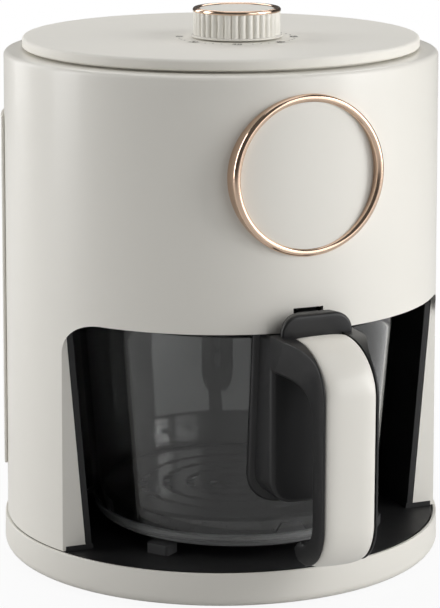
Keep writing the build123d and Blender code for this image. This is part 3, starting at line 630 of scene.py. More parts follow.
def rounding(depth: float, radius: float, steps: int = 5) -> tuple[Array, Array]:
    """Edge rounding of a plate: how far the outline draws in, and how far it goes forward, row by row.

    Along the quarter circle the first is R (1 - cos t), and the second is the depth less R (1 - sin t).

    Args:
        depth: the plate's thickness.
        radius: radius of the rounding at its front edge.
        steps: steps in the rounding.

    Returns:
        The two arrays, from the back to the front.
    """
    angle = np.radians(np.linspace(0, 90, steps + 1))
    inset = np.concatenate([[0.0], radius * (1 - np.cos(angle))])
    ahead = np.concatenate([[0.0], depth - radius * (1 - np.sin(angle))])
    return inset, ahead


# ---------------------------------------------------------------- sub-assemblies


@dataclass
class Drum:
    """The body: tapered shell with its opening and jambs, base ring, liner of the bay and rear cover.

    Heights are counted from the ground, and y from the drum's axis.
    """

    r_base: float = 134.0
    r_top: float = 131.3
    foot: float = 2.5
    rim: float = 312.5
    wall: float = 2.5
    rim_round: float = 3.0
    ledge: float = 108.0
    ledge_edge: float = 1.0
    ledge_skirt: float = 6.0
    overlap: float = 1.0
    crowding: float = 0.8
    # base ring
    r_band: float = 135.7
    band_draft: float = 0.3
    band_wall: float = 7.0
    band_step: float = 12.0
    band_edge: Span = (0.35, 0.4)
    base_round: float = 6.0
    lip: float = 2.0
    lip_wall: float = 6.0
    lip_edge: float = 0.3
    lip_drop: float = 3.4
    # seam over the base ring
    seam_low: float = 23.5
    seam: float = 0.35
    seam_edge: float = 0.6
    seam_inset: float = 0.25
    # opening, its rounded upper corners and its jambs
    opening: float = 165.3
    corner: float = 20.5
    corner_run: float = 30.0
    edge_rows: Span = (0.006, 0.02)
    jamb_y: float = 52.6
    jamb_inset: float = 1.2
    jamb_rows: int = 40
    # black bay
    axis_y: float = -25.0
    bay_low: float = 104.5
    bay_high: float = 115.6
    plinth: float = 26.5
    deck: float = 167.0
    edge: float = 4.0
    edge_turn: float = 2.5
    bay_gap: float = 0.2
    # slot over the handle
    slot_half: float = 9.3
    slot: Span = (171.3, 179.3)
    # rear cover, its window, and the hole in the wall behind the window
    cover_angle: float = 104.0
    cover_z: Span = (56.0, 274.0)
    cover_proud: float = 2.0
    cover_wall: float = 1.9
    vent_half: float = 34.0
    vent_z: Span = (196.0, 252.0)
    vent_level: float = 225.0
    hole_half: float = 32.0
    hole_z: Span = (195.0, 249.0)

    def radius(self, z: Array) -> Array:
        """Outer radius at a height, on a straight taper."""
        return self.r_base + (self.r_top - self.r_base) * (z - self.foot) / (self.rim - self.foot)

    def bay(self, z: Array) -> Array:
        """Half width of the black bay at a height, on a straight taper."""
        return self.bay_low + (self.bay_high - self.bay_low) * (z - self.plinth) / (self.deck - self.plinth)

    def on_drum(self, angle: Array, z: Array, out: float = 0.0) -> Array:
        """Points on the drum at angles from the front and heights, or as far outside it as given."""
        return around(self.radius(z) + out, angle, z)

    def half_chord(self, z: Array) -> Array:
        """How far to the side the drum reaches in the jambs' plane: the root of R squared less y squared."""
        return np.sqrt(self.radius(z) ** 2 - self.jamb_y ** 2)

    def side(self) -> float:
        """Angle from the front at which a jamb's upright edge runs into the opening's rounded corner."""
        return math.acos(self.jamb_y / float(self.radius(self.opening - self.corner)))

    def share(self, z: float) -> float:
        """Share of the way from the opening's edge up to where the rim's rounding starts."""
        return (z - self.opening) / (self.rim - self.rim_round - self.opening)

    def corner_height(self, angle: Array) -> Array:
        """Upper edge of the opening at an angle from the front.

        It is level, then a quarter ellipse on the unrolled drum that comes down to the jamb.
        """
        along = (np.abs(angle) - self.side()) * float(self.radius(self.opening))
        share = np.clip(along / self.corner_run + 1.0, 0.0, 1.0)
        return self.opening - self.corner * (1.0 - np.sqrt(1.0 - share ** 2))

    def over_rim(self, angle: Array) -> Array:
        """Rows that carry the wall over its rounded top edge, across the ledge and down inside.

        Args:
            angle: the row's angles from the front.

        Returns:
            Grid of the added rows.
        """
        top = self.rim - self.rim_round
        turn = arc((self.radius(top) - self.rim_round, top), (self.rim_round, self.rim_round), 0, 90, 6)[1:]
        profile = join(turn, (self.ledge + self.ledge_edge, self.rim),
                       (self.ledge, self.rim - self.ledge_edge), (self.ledge, self.rim - self.ledge_skirt))
        return around(profile[:, :1], angle, profile[:, 1:])

    def front_angles(self, slot: float) -> Array:
        """Columns of the front wall, with one on each of the slot's edges.

        Round the opening's corners they follow a sine, so that they crowd where the edge is steepest.

        Args:
            slot: half the slot's angle.

        Returns:
            Angles from the front, from the left jamb to the right one.
        """
        side = self.side()
        level = side - self.corner_run / float(self.radius(self.opening))
        right = np.concatenate([np.linspace(0, slot, 5)[:-1], np.linspace(slot, level, 34)[:-1],
                                level + (side - level) * np.sin(np.linspace(0, np.pi / 2, 30))])
        return np.concatenate([-right[:0:-1], right])

    def front_rows(self) -> Array:
        """Rows of the front wall as shares of its height, with one on the slot's lower and upper edge."""
        low, high = (self.share(z) for z in self.slot)
        return np.concatenate([[0.0, self.edge_rows[0]], np.linspace(self.edge_rows[1], low, 4), [high],
                               np.linspace(high, 1, 22)[1:]])

    def seam_rows(self) -> Array:
        """Heights of the wall's lowest rows: the drawn-in edge at the seam, and the plinth's height."""
        return np.array([self.seam_low + self.seam, self.seam_low + self.seam_edge, self.plinth])

    def front_wall(self, skin: Surface, angle: Array, edge: Array, slot: float) -> None:
        """Wall over the opening: its height goes from the opening's edge to the rim, row by row.

        Args:
            skin: surface to add it to.
            angle: the columns' angles from the front.
            edge: the opening's upper edge at each column.
            slot: half the angle of the slot, which is left open.
        """
        rows = self.front_rows()
        z = edge + (self.rim - self.rim_round - edge) * rows[:, None]
        front = np.concatenate([self.on_drum(angle[None, :], z), self.over_rim(angle[None, :])])
        keep = np.ones(front.shape[:2], bool)
        row = int(np.argmin(np.abs(rows - self.share(self.slot[0]))))
        keep[row, :-1] = np.abs(0.5 * (angle[1:] + angle[:-1])) >= slot
        skin.add(front, keep=keep)

    def back_wall(self, skin: Surface) -> None:
        """Wall from one jamb round the back to the other, with a hole behind the exhaust grille.

        The columns' shares are u less crowding times sin(2 pi u) / (2 pi), so they crowd towards both jambs.
        """
        meet = self.opening - self.corner
        z = np.concatenate([self.seam_rows()[:-1], np.linspace(self.plinth, meet, self.jamb_rows),
                            meet + (self.rim - self.rim_round - meet) * self.front_rows()[1:]])
        start = np.arccos(self.jamb_y / self.radius(np.minimum(z, meet)))
        even = np.linspace(0.0, 1.0, 241)
        share = even - self.crowding * np.sin(2 * np.pi * even) / (2 * np.pi)
        turn = start[:, None] + (2 * np.pi - 2 * start[:, None]) * share
        wall = self.on_drum(turn, z[:, None])
        wall[0, :, :2] *= 1.0 - self.seam_inset / self.r_base
        back = np.concatenate([wall, self.over_rim(turn[-1:])])
        behind = (z > self.hole_z[0]) & (z < self.hole_z[1])
        within = np.abs(0.5 * (turn[:, 1:] + turn[:, :-1]) - np.pi) < self.hole_half / self.r_top
        keep = np.ones(back.shape[:2], bool)
        keep[:len(z), :-1] = ~(behind[:, None] & within)
        skin.add(back, keep=keep)

    def opening_edge(self, skin: Surface, angle: Array, edge: Array) -> None:
        """The opening's upper edge through the wall, and the inner wall over it.

        The inner wall lies one wall's thickness inside the drum, and never reaches past the jambs' plane.

        Args:
            skin: surface to add it to.
            angle: the columns' angles from the front.
            edge: the opening's upper edge at each column.
        """
        outer = self.radius(edge)
        inside = outer - self.wall
        limit = np.sqrt(inside ** 2 - self.jamb_y ** 2)
        outer_x, outer_y = outer * np.sin(angle), outer * np.cos(angle)
        inner_x = np.clip(outer_x, -limit, limit)
        inner_y = np.sqrt(inside ** 2 - inner_x ** 2)
        t = np.linspace(0, 1, 3)[:, None]
        x, y = outer_x + (inner_x - outer_x) * t, outer_y + (inner_y - outer_y) * t
        skin.add(xyz(x, -y, edge), flip=True)
        z = np.stack([edge, np.maximum(edge, self.deck + self.overlap)])
        skin.add(xyz(inner_x, -inner_y, z), flip=True)

    def jambs(self, skin: Surface) -> None:
        """Flat upright faces beside the opening, from the liner out to the drum, and the strip below them."""
        meet = self.opening - self.corner
        z = np.concatenate([np.linspace(self.plinth, meet, self.jamb_rows),
                            np.linspace(meet, self.deck - self.overlap, 14)[1:]])
        x_out = self.half_chord(z)
        x_out[z > meet] -= self.jamb_inset
        x_in = self.bay(z) + self.edge + self.bay_gap
        x = x_in[:, None] + (x_out - x_in)[:, None] * np.linspace(0, 1, 6)
        skin.mirrored(xyz(x, -self.jamb_y, z[:, None]))
        z = self.seam_rows()
        skin.mirrored(xyz(self.half_chord(z)[:, None] - np.array([self.wall, 0.0]), -self.jamb_y, z[:, None]))

    def slot_walls(self, skin: Surface, slot: float) -> None:
        """Walls of the small slot over the handle, square to the drum and as deep as its wall.

        Args:
            skin: surface to add them to.
            slot: half the slot's angle.
        """
        across, up = np.linspace(-slot, slot, 9)[None, :], np.linspace(*self.slot, 3)[None, :]
        level = [(across, np.array([[z]]), z == self.slot[1]) for z in self.slot]
        upright = [(np.array([[side]]), up, side < 0) for side in (-slot, slot)]
        for angle, z, flip in level + upright:
            skin.add(np.concatenate([self.on_drum(angle, z), self.on_drum(angle, z, -self.wall)]), flip=flip)

    def shell(self) -> None:
        """The drum's wall, the opening's edge and the two jambs as one skin."""
        skin = Surface()
        slot = math.asin(self.slot_half / float(self.radius(self.opening)))
        angle = self.front_angles(slot)
        edge = self.corner_height(angle)
        edge[[0, -1]] = self.opening - self.corner
        self.front_wall(skin, angle, edge, slot)
        self.back_wall(skin)
        self.opening_edge(skin, angle, edge)
        self.jambs(skin)
        self.slot_walls(skin, slot)
        skin.build("drum_shell", CREAM, Body.HOUSING, ["outer_shell"], bevel=0.9)

    def base(self) -> None:
        """Base ring: rounded foot, upright side, thin lip round the tray."""
        low, high = self.r_band, self.r_band - self.band_draft
        under, sill, lip = low - self.band_wall, self.seam_low - self.lip_drop, high - self.lip
        profile = join((high - self.lip_wall, sill), (under, self.foot + self.band_step), (under, self.foot),
                       arc((low - self.base_round, self.foot + self.base_round),
                           (self.base_round, self.base_round), -90, 0, 10),
                       (high, self.seam_low - self.band_edge[1]), (high - self.band_edge[0], self.seam_low),
                       (lip + self.lip_edge, self.seam_low), (lip, self.seam_low - self.lip_edge),
                       (lip, sill))
        Surface().add(turned(profile, 240), round_u=True, round_v=True).build(
            "base_band", CREAM, Body.HOUSING, ["base_ring"])

    def liner(self) -> None:
        """Black bay: straight sides from the jambs, a half circle behind the pot, leaning outwards."""
        skin = Surface()
        z = np.linspace(self.plinth, self.deck - self.bay_gap, 16)[:, None]
        a = self.bay(z)
        straight = np.linspace(-self.jamb_y, self.axis_y, 6)[:-1]
        turn = np.linspace(0, np.pi, 61)
        x = np.concatenate([a + 0 * straight, a * np.cos(turn), -a + 0 * straight], axis=1)
        y = np.concatenate([straight + 0 * a, self.axis_y + a * np.sin(turn), straight[::-1] + 0 * a], axis=1)
        skin.add(xyz(x, y, z), flip=True)
        skin.mirrored(xyz(a + self.edge * np.array([0.0, 0.5, 1.0]), -self.jamb_y, z))
        skin.mirrored(xyz(a + self.edge, -self.jamb_y + np.array([0.0, self.edge_turn]), z))
        skin.build("bay_liner", BLACK_MATT, Body.HOUSING, ["cavity_liner"], bevel=0.5)

    def rear(self) -> None:
        """Rear cover: a sheet round the back, a little proud, with a window for the exhaust grille."""
        start = math.radians(self.cover_angle)
        vent = self.vent_half / float(self.radius(self.vent_level))
        left, right = np.pi - vent, np.pi + vent
        turn = np.concatenate([np.linspace(start, left, 40), np.linspace(left, right, 13)[1:],
                               np.linspace(right, 2 * np.pi - start, 40)[1:]])
        z = np.concatenate([np.linspace(self.cover_z[0], self.vent_z[0], 24),
                            np.linspace(*self.vent_z, 9)[1:],
                            np.linspace(self.vent_z[1], self.cover_z[1], 6)[1:]])
        grid = self.on_drum(turn[None, :], z[:, None], self.cover_proud)
        level = 0.5 * (z[1:] + z[:-1])[:, None]
        window = (np.abs(0.5 * (turn[1:] + turn[:-1]) - np.pi) < vent) & (level > self.vent_z[0])
        keep = np.ones(grid.shape[:2], bool)
        keep[:-1, :-1] = ~(window & (level < self.vent_z[1]))
        Surface().add(grid, keep=keep).build("back_panel", CREAM, Body.HOUSING, ["rear_cover"], bevel=0.8,
                                             wall=self.cover_wall)

    def build(self) -> None:
        """Make every skin of the body."""
        self.shell()
        self.base()
        self.liner()
        self.rear()


@dataclass
class Top:
    """Fixed top cover with its dial, and the timer knob."""

    axis_y: float = -25.0
    radius: float = 120.0
    low: float = 314.0
    high: float = 320.5
    edge: float = 1.9
    chamfer: float = 0.8
    crown: float = 1.2
    seat_r: float = 113.5
    seat_drop: float = 1.6
    # knob
    knob_r: float = 26.0
    knob_z: float = 322.2
    knob_top: float = 339.6
    knob_lid: float = 2.0
    ring_h: float = 2.4
    flutes: int = 36
    flute: float = 1.5
    flange: float = 0.9
    flange_edge: float = 0.6
    flange_z: tuple[float, ...] = (0.0, 0.0, 0.2, 1.0, 1.2)
    groove_z: float = 1.25
    groove_end: float = 0.8
    band: float = 3.6
    band_round: float = 1.5
    band_proud: float = 0.25
    dish_r: float = 8.0
    # dial, whose middle mark faces the camera's bearing
    dial_r: float = 34.5
    dial_step: float = 48.0
    dial_turn: float = -22.2
    labels: tuple[str, ...] = ("0", "10", "20", "30", "40", "50", "60")
    dots: tuple[float, ...] = (0.32, 0.5, 0.68)
    dot_r: float = 0.6
    digit: float = 6.0
    digit_weight: float = 0.12
    film: float = 0.04

    def dome(self, r: Array) -> Array:
        """Height of the cover's face at a radius: a cosine swell, level at the edge and in the middle."""
        return self.high + self.crown * (0.5 + 0.5 * np.cos(np.pi * np.clip(r / self.radius, 0.0, 1.0)))

    def cover(self) -> None:
        """Disc with a rounded upper edge, standing on a narrower seat that leaves the dark gap."""
        inner = self.radius - self.edge
        r = np.linspace(inner, 0.0, 30)[1:]
        face = np.stack([r, self.dome(r)], axis=-1)
        profile = join((0.0, self.low - self.seat_drop), (self.seat_r, self.low - self.seat_drop),
                       (self.seat_r, self.low), (self.radius - self.chamfer, self.low),
                       (self.radius, self.low + self.chamfer),
                       arc((inner, self.high - self.edge), (self.edge, self.edge), 0, 90, 8), face)
        Surface().add(turned(profile, 240), round_u=True).build(
            "lid_disc", CREAM_SATIN, Body.HOUSING, ["top_cover"])

    def grip(self, top: float) -> None:
        """Ribbed body of the knob on a thin flange.

        Its radius is R less a groove of depth d (1 - |sin(n a / 2)| ^ 0.7). The depth goes along the knob as
        a sine to the power of 0.2, and stops at groove_end at both ends.

        Args:
            top: height at which the ring over it starts.
        """
        steps = self.flutes * 10
        rows = 12
        angle = np.linspace(0, 2 * np.pi, steps, endpoint=False)
        neck, brim = self.knob_r + self.flange_edge, self.knob_r + self.flange
        z = np.concatenate([self.knob_z + np.array(self.flange_z),
                            np.linspace(self.knob_z + self.groove_z, top, rows)])
        base = np.concatenate([[0.0, neck, brim, brim, neck], np.full(rows, self.knob_r)])
        along = np.sin(np.linspace(0, np.pi, rows)[1:-1]) ** 0.2
        fade = np.concatenate([0.0 * base[:-rows], [self.groove_end], along, [self.groove_end]])
        groove = 1.0 - np.abs(np.sin(self.flutes * angle / 2)) ** 0.7
        body = around(base[:, None] - self.flute * fade[:, None] * groove, angle, z[:, None], self.axis_y)
        lid = turned(join((self.knob_r - self.knob_lid, top), (0.0, top)), steps, self.axis_y)
        Surface().add(np.concatenate([body, lid]), round_u=True).build(
            "knob_grip", CREAM, Body.KNOB, ["knob_body"])

    def knob(self) -> None:
        """Ribbed knob with its rose ring, and the faintly dished cap inside the ring."""
        top = self.knob_top - self.ring_h
        self.grip(top)
        outer, inner = self.knob_r + self.band_proud, self.knob_r - self.band
        profile = join((self.knob_r - 1.0, top), (outer - 0.1, top + 0.1), (outer, top + 0.9),
                       arc((outer - self.band_round, top + 0.9), (self.band_round, self.band_round),
                           10, 100, 6),
                       (inner + 0.6, self.knob_top - 0.3), (inner, self.knob_top - 0.9), (inner, top))
        Surface().add(turned(profile, 144, self.axis_y), round_u=True, round_v=True).build(
            "knob_band", ROSE, Body.KNOB, ["knob_ring"])
        profile = join((0.0, top + 0.05), (inner - 0.1, top + 0.05), (inner - 0.1, self.knob_top - 1.2),
                       (inner - 0.4, self.knob_top - 0.9), (inner - 4, self.knob_top - 0.85),
                       (self.dish_r, self.knob_top - 1.0), (0.0, self.knob_top - 1.05))
        Surface().add(turned(profile, 96, self.axis_y), round_u=True).build(
            "knob_face", CREAM_SATIN, Body.KNOB, ["knob_cap"])

    def print_z(self) -> float:
        """Height of the printed film at the dial's inner side, just over the swelling cover."""
        return float(self.dome(np.array(self.dial_r - self.digit / 2))) + self.film

    def dial(self) -> None:
        """Printed minutes and dots round the knob, a thin film of ink on the cover."""
        spots = Surface()
        ring = np.linspace(0, 2 * np.pi, 12, endpoint=False)
        disc = np.array([self.dot_r, 0.0])[:, None]
        for k, label in enumerate(self.labels):
            middle = math.radians(self.dial_turn + (k - len(self.labels) // 2) * self.dial_step)
            self.digits(label, k, middle)
            for share in self.dots if k + 1 < len(self.labels) else ():
                a = middle + math.radians(self.dial_step) * share
                spots.add(xyz(self.dial_r * math.sin(a) + disc * np.cos(ring),
                              self.axis_y - self.dial_r * math.cos(a) + disc * np.sin(ring), self.print_z()),
                          round_u=True)
        spots.build("dial_dots", INK, Body.HOUSING)

    def digits(self, label: str, index: int, angle: float) -> None:
        """One printed number, read from the front, made a mesh before it is placed.

        Args:
            label: the number.
            index: its place in the row, for its name.
            angle: its angle from the front, in radians.
        """
        text = bpy.data.curves.new(f"minute_{index}", "FONT")
        text.body, text.size = label, self.digit / MM
        text.offset = self.digit_weight / MM
        text.align_x, text.align_y = "CENTER", "CENTER"
        source = placed(f"minute_{index}_text", text)
        bpy.context.view_layer.update()
        mesh = bpy.data.meshes.new_from_object(source.evaluated_get(bpy.context.evaluated_depsgraph_get()))
        bpy.data.objects.remove(source)
        place = Matrix.Translation(Vector((self.dial_r / MM * math.sin(angle),
                                           DRUM_Y + (self.axis_y - self.dial_r * math.cos(angle)) / MM,
                                           self.print_z() / MM)))
        mesh.transform(place @ Matrix.Rotation(angle, 4, "Z"))
        piece = placed(f"minute_{index}", mesh)
        mesh.materials.clear()
        mesh.materials.append(INK.material())
        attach(piece, Body.HOUSING.value)

    def build(self) -> None:
        """Make the cover, the knob and the dial."""
        self.cover()
        self.knob()
        self.dial()


@dataclass
class Accent:
    """Rose ring that stands flat before the curved front, and the plain disc inside it."""

    drum: Drum
    height: float = 255.3
    radius: float = 46.5
    band: float = 4.6
    proud: float = 2.2
    sunk: float = 0.8
    disc_gap: float = 0.1
    disc_back: float = 1.0
    disc_bow: float = 190.0

    def build(self) -> None:
        """Carry the band's section round the circle; its foot follows the drum.

        For each angle the section runs from the drum's surface up the outer side, over a half round, and down
        the inner side, so that the sides are deepest where the drum falls away. The disc is bowed to a
        cylinder of radius disc_bow.
        """
        angle = np.linspace(0, 2 * np.pi, 180, endpoint=False)[None, :]
        front = -float(self.drum.radius(self.height)) - self.proud
        mid, half = self.radius - self.band / 2, self.band / 2
        turn = np.radians(np.linspace(0, 180, 13))
        rho = np.concatenate([[self.radius], mid + half * np.cos(turn), [self.radius - self.band]])[:, None]
        crest = np.concatenate([[0.0], front + half - half * np.sin(turn), [0.0]])[:, None]
        x, z = rho * np.cos(angle), self.height + rho * np.sin(angle)
        foot = -np.sqrt(self.drum.radius(z) ** 2 - x ** 2) + self.sunk
        Surface().add(xyz(x, np.where(crest == 0.0, foot, crest), z), round_u=True, round_v=True).build(
            "front_ring", ROSE, Body.HOUSING, ["accent_ring"])
        rho = np.linspace(self.radius - self.band + self.disc_gap, 0.0, 24)[:, None]
        x, z = rho * np.cos(angle), self.height + rho * np.sin(angle)
        bow = self.disc_bow - np.sqrt(self.disc_bow ** 2 - x ** 2)
        Surface().add(xyz(x, front + self.proud - self.disc_back + bow, z), round_u=True).build(
            "front_disc", CREAM, Body.HOUSING, ["accent_disc"])


@dataclass
class Pot:
    """Glass pot with its hooked handle. Lengths named _y are counted forwards from the drum's axis."""

    # glass
    axis_y: float = -25.0
    foot: float = 29.8
    top: float = 162.2
    r_foot: float = 87.5
    r_top: float = 97.5
    glass: float = 4.0
    floor: float = 5.0
    heel: float = 9.0
    heel_in: Span = (5.0, 5.5)
    heel_shift: Span = (0.7, 0.2)
    push_up: Span = (1.2, 1.0)
    ring: Span = (24.0, 14.0)
    floor_edge: float = 16.0
    wall_low: float = 46.0
    lip: float = 1.9
    # block and flange on the glass
    block_half: float = 26.0
    block_y: float = 140.0
    block_low: float = 66.0
    block_corner: float = 14.0
    block_top: float = 2.4
    block_round: float = 3.0
    block_off: float = 1.0
    flange_half: float = 29.3
    flange_low: float = 61.0
    flange_corner: float = 16.0
    flange_top: float = 1.2
    flange_face: float = 7.0
    flange_t: float = 3.5
    flange_round: float = 1.4
    flange_off: float = 0.4
    handle_top: float = 164.5
    # arm, grip and toe
    grip_half: float = 17.0
    arm_under: float = 144.0
    arm_round: float = 22.0
    arm_sunk: float = 2.5
    arm_flare: float = 34.0
    arm_flare_y: float = 176.0
    grip_in: float = 175.5
    grip_out: float = 188.5
    crown: float = 163.0
    fall: float = 27.0
    shoulder: float = 8.6
    toe_y: float = 153.5
    toe_z: float = 36.8
    toe_h: float = 13.0
    toe_bend: float = 29.0
    toe_lead: float = 4.0
    bend_steps: int = 24
    nose_steps: int = 12
    edge_round: float = 3.2
    rail_round: float = 0.6
    full_thick: float = 9.0
    least: float = 0.05
    toe_seat: float = 14.5
    seat: float = 3.1
    seat_toe: float = 0.4
    seat_gap: float = 0.3
    # cover of the grip
    cover_half: float = 15.5
    cover_t: float = 4.0
    cover_lift: float = 0.2
    cover_stop: Span = (168.0, 60.0)
    cover_crown: float = 0.22
    cover_end: float = 2.2
    drop: float = 0.9
    # hood and its tab
    hood_y: Span = (136.6, 145.0)
    hood_half: float = 23.0
    hood_top: float = 178.2
    hood_corner: float = 11.0
    hood_foot: float = 0.8
    hood_round: float = 2.2
    hood_draft: float = 3.2
    hood_back: Span = (9.0, 1.0)
    tab_half: float = 6.5
    tab_z: Span = (173.3, 177.3)
    tab_tip: float = 127.5
    tab_corner: float = 1.0

    def radius(self, z: Array) -> Array:
        """Outer radius of the glass at a height."""
        return self.r_foot + (self.r_top - self.r_foot) * (z - self.foot) / (self.top - self.foot)

    def front(self, x: Array, z: Array, off: Array) -> Array:
        """Y of a surface at a distance from the glass: the axis less the root of R squared less x squared."""
        return self.axis_y - np.sqrt((self.radius(z) + off) ** 2 - x ** 2)

    def vessel(self) -> None:
        """Closed glass wall: rounded heel, thick base with a shallow push-up, rolled rim."""
        side = np.linspace(self.wall_low, self.top - self.lip, 14)
        wall = np.stack([self.radius(side), side], axis=-1)
        out, into = (self.r_foot - self.heel + shift for shift in self.heel_shift)
        heel = arc((out, self.foot + self.heel), (self.heel, self.heel), -88, -4, 10)
        bowl = arc((into, self.foot + self.floor + self.heel_in[1]), self.heel_in, -4, -88, 8)
        roll = arc((self.r_top - self.glass / 2, self.top - self.lip), (self.glass / 2, self.lip), 10, 170, 8)
        profile = join((0.0, self.foot + self.push_up[0]),
                       (self.r_foot - self.ring[0], self.foot + self.push_up[1]),
                       (self.r_foot - self.ring[1], self.foot), heel, wall, roll,
                       wall[::-1] - np.array([self.glass, 0.0]), bowl,
                       (self.r_foot - self.floor_edge, self.foot + self.floor), (0.0, self.foot + self.floor))
        Surface().add(turned(profile, 200, self.axis_y), round_u=True).build(
            "glass_vessel", CLEAR, Body.POT, ["glass_pot"])

    def spine(self, grow: float) -> tuple[Array, Array]:
        """Inner and outer line of arm, grip and toe in the side view, point by point opposite each other.

        Each is straight runs joined by quarter ellipses, with the same number of points from joint to joint.

        Args:
            grow: how far the outer line lies outside the seat of the cover.

        Returns:
            Arrays of (y, z) for the inner and the outer line.
        """
        out, crown = self.grip_out + grow, self.crown + grow
        low = self.toe_z + self.cover_t - grow
        toe = self.toe_y + self.toe_h / 2
        bend = self.toe_z + self.toe_bend
        curl = self.grip_in - toe
        heel = self.toe_z + self.toe_h + curl
        nose = self.toe_z + self.toe_h / 2
        under = self.arm_under - self.arm_round
        inner = join((-self.block_y + 3, self.arm_under), (-self.block_y, self.arm_under),
                     arc((-self.block_y, under), (self.grip_in - self.block_y, self.arm_round),
                         90, 180, self.bend_steps)[1:],
                     line((-self.grip_in, under), (-self.grip_in, heel)),
                     arc((-toe, heel), (curl, curl), 180, 270, self.bend_steps)[1:],
                     arc((-toe, nose), (self.toe_h / 2, self.toe_h / 2), 90, 2, self.nose_steps)[1:])
        shoulder = -self.hood_y[1] - self.shoulder
        outer = join((-self.block_y + self.arm_sunk, crown), (shoulder, crown),
                     arc((shoulder, crown - self.fall), (out + shoulder, self.fall),
                         90, 180, self.bend_steps)[1:],
                     line((-out, crown - self.fall), (-out, bend)),
                     arc((-toe - self.toe_lead, bend), (out - toe - self.toe_lead, bend - low),
                         180, 270, self.bend_steps)[1:],
                     arc((-toe, nose), (self.toe_h / 2, nose - low), 272, 358, self.nose_steps)[1:])
        return inner, outer

    def hook(self) -> None:
        """Arm, grip and toe as a section carried along the spine, with rails beside the cover's seat.

        The half width grows from the grip's to the block's by t squared times (3 - 2 t) along the arm. The
        section goes from the middle of the inner side round both edges and down into the seat.
        """
        inner, outer = self.spine(self.cover_t - self.drop)
        thick = np.linalg.norm(outer - inner, axis=1)[:, None]
        small = np.clip(thick / self.full_thick, self.least, 1.0)
        y_mid = 0.5 * (inner[:, :1] + outer[:, :1])
        high = inner[:, 1:] > self.arm_under - self.arm_round
        near = np.clip((y_mid + self.arm_flare_y) / self.arm_flare, 0, 1)
        flare = np.where(high, near * near * (3 - 2 * near), 0.0)
        half = self.grip_half + (self.block_half - self.grip_half - 0.02) * flare
        none = 0 * half
        r, rail = self.edge_round * small, self.rail_round * small
        turn = np.radians(np.linspace(0, 90, 6))[None, :]
        let_in = (outer[:, :1] < -self.toe_y - self.toe_seat) | high
        seat = thick - np.where(let_in, self.seat, self.seat_toe) * small
        inset = self.cover_half + self.seat_gap + none
        x = np.concatenate([none, half - r, half - r + r * np.sin(turn), half - rail * (1 - np.cos(turn)),
                            inset, inset, self.cover_half - 1 + none, none], axis=1)
        depth = np.concatenate([none, none, r - r * np.cos(turn), thick - rail * (1 - np.sin(turn)), thick,
                                seat, seat, seat], axis=1)
        yz = inner[:, None, :] + (outer - inner)[:, None, :] * (depth / thick)[:, :, None]
        grid = capped(np.concatenate([x[:, :, None], yz], axis=-1))
        grid[[0, -1], :, 0] = 0.0
        skin = Surface()
        skin.mirrored(grid)
        skin.build("handle_hook", BLACK, Body.POT, ["handle_frame"], sharp=40)

    def against_glass(self, ring: Array, off: float) -> Array:
        """Rows that close a ring on the glass: it shrinks to its middle and keeps to the glass's curve.

        Args:
            ring: the ring's points.
            off: distance from the glass.

        Returns:
            Grid of the rows, from the middle outwards.
        """
        middle = 0.5 * (ring[:, 2].min() + ring[:, 2].max())
        share = np.array([0.0, 0.35, 0.7])[:, None]
        x, z = ring[:, 0] * share, middle + (ring[:, 2] - middle) * share
        return xyz(x, self.front(x, z, off), z)

    def block(self) -> None:
        """Block on the glass with rounded edges, and the thin flange behind it that follows the glass."""
        skin = Surface()
        inset, ahead = rounding(1.0, self.block_round)
        outline = box_outline(self.block_half - inset, self.block_low + inset, self.handle_top - 0.4 * inset,
                              self.block_corner - inset, self.block_top - 0.6 * inset)
        x, z = outline[..., 0], outline[..., 1]
        y = (ahead[-1] - ahead - self.block_y)[:, None]
        on_glass = np.arange(len(inset))[:, None] == 0
        grid = xyz(x, np.where(on_glass, self.front(x, z, self.block_off), y), z)
        middle = (0.0, -self.block_y, 0.5 * (self.block_low + self.handle_top))
        skin.add(np.concatenate([self.against_glass(grid[0], self.block_off),
                                 shrunk(grid, middle, (0.6, 0.2, 0.0))]), round_u=True)
        turn = np.radians(np.linspace(0, 90, 5))
        inset = np.concatenate([[0.0], self.flange_round * (1 - np.cos(turn)), [self.flange_face]])
        off = np.concatenate([[self.flange_off], self.flange_t - self.flange_round * (1 - np.sin(turn)),
                              [self.flange_t]])[:, None]
        outline = box_outline(self.flange_half - inset, self.flange_low + inset,
                              self.handle_top - 0.2 * inset, self.flange_corner - inset,
                              self.flange_top - 0.15 * inset)
        x, z = outline[..., 0], outline[..., 1]
        grid = xyz(x, self.front(x, z, off), z)
        back = self.against_glass(grid[0], self.flange_off)
        skin.add(np.concatenate([back, capped(grid)[1:]]), round_u=True)
        skin.build("handle_block", BLACK, Body.POT, sharp=40)

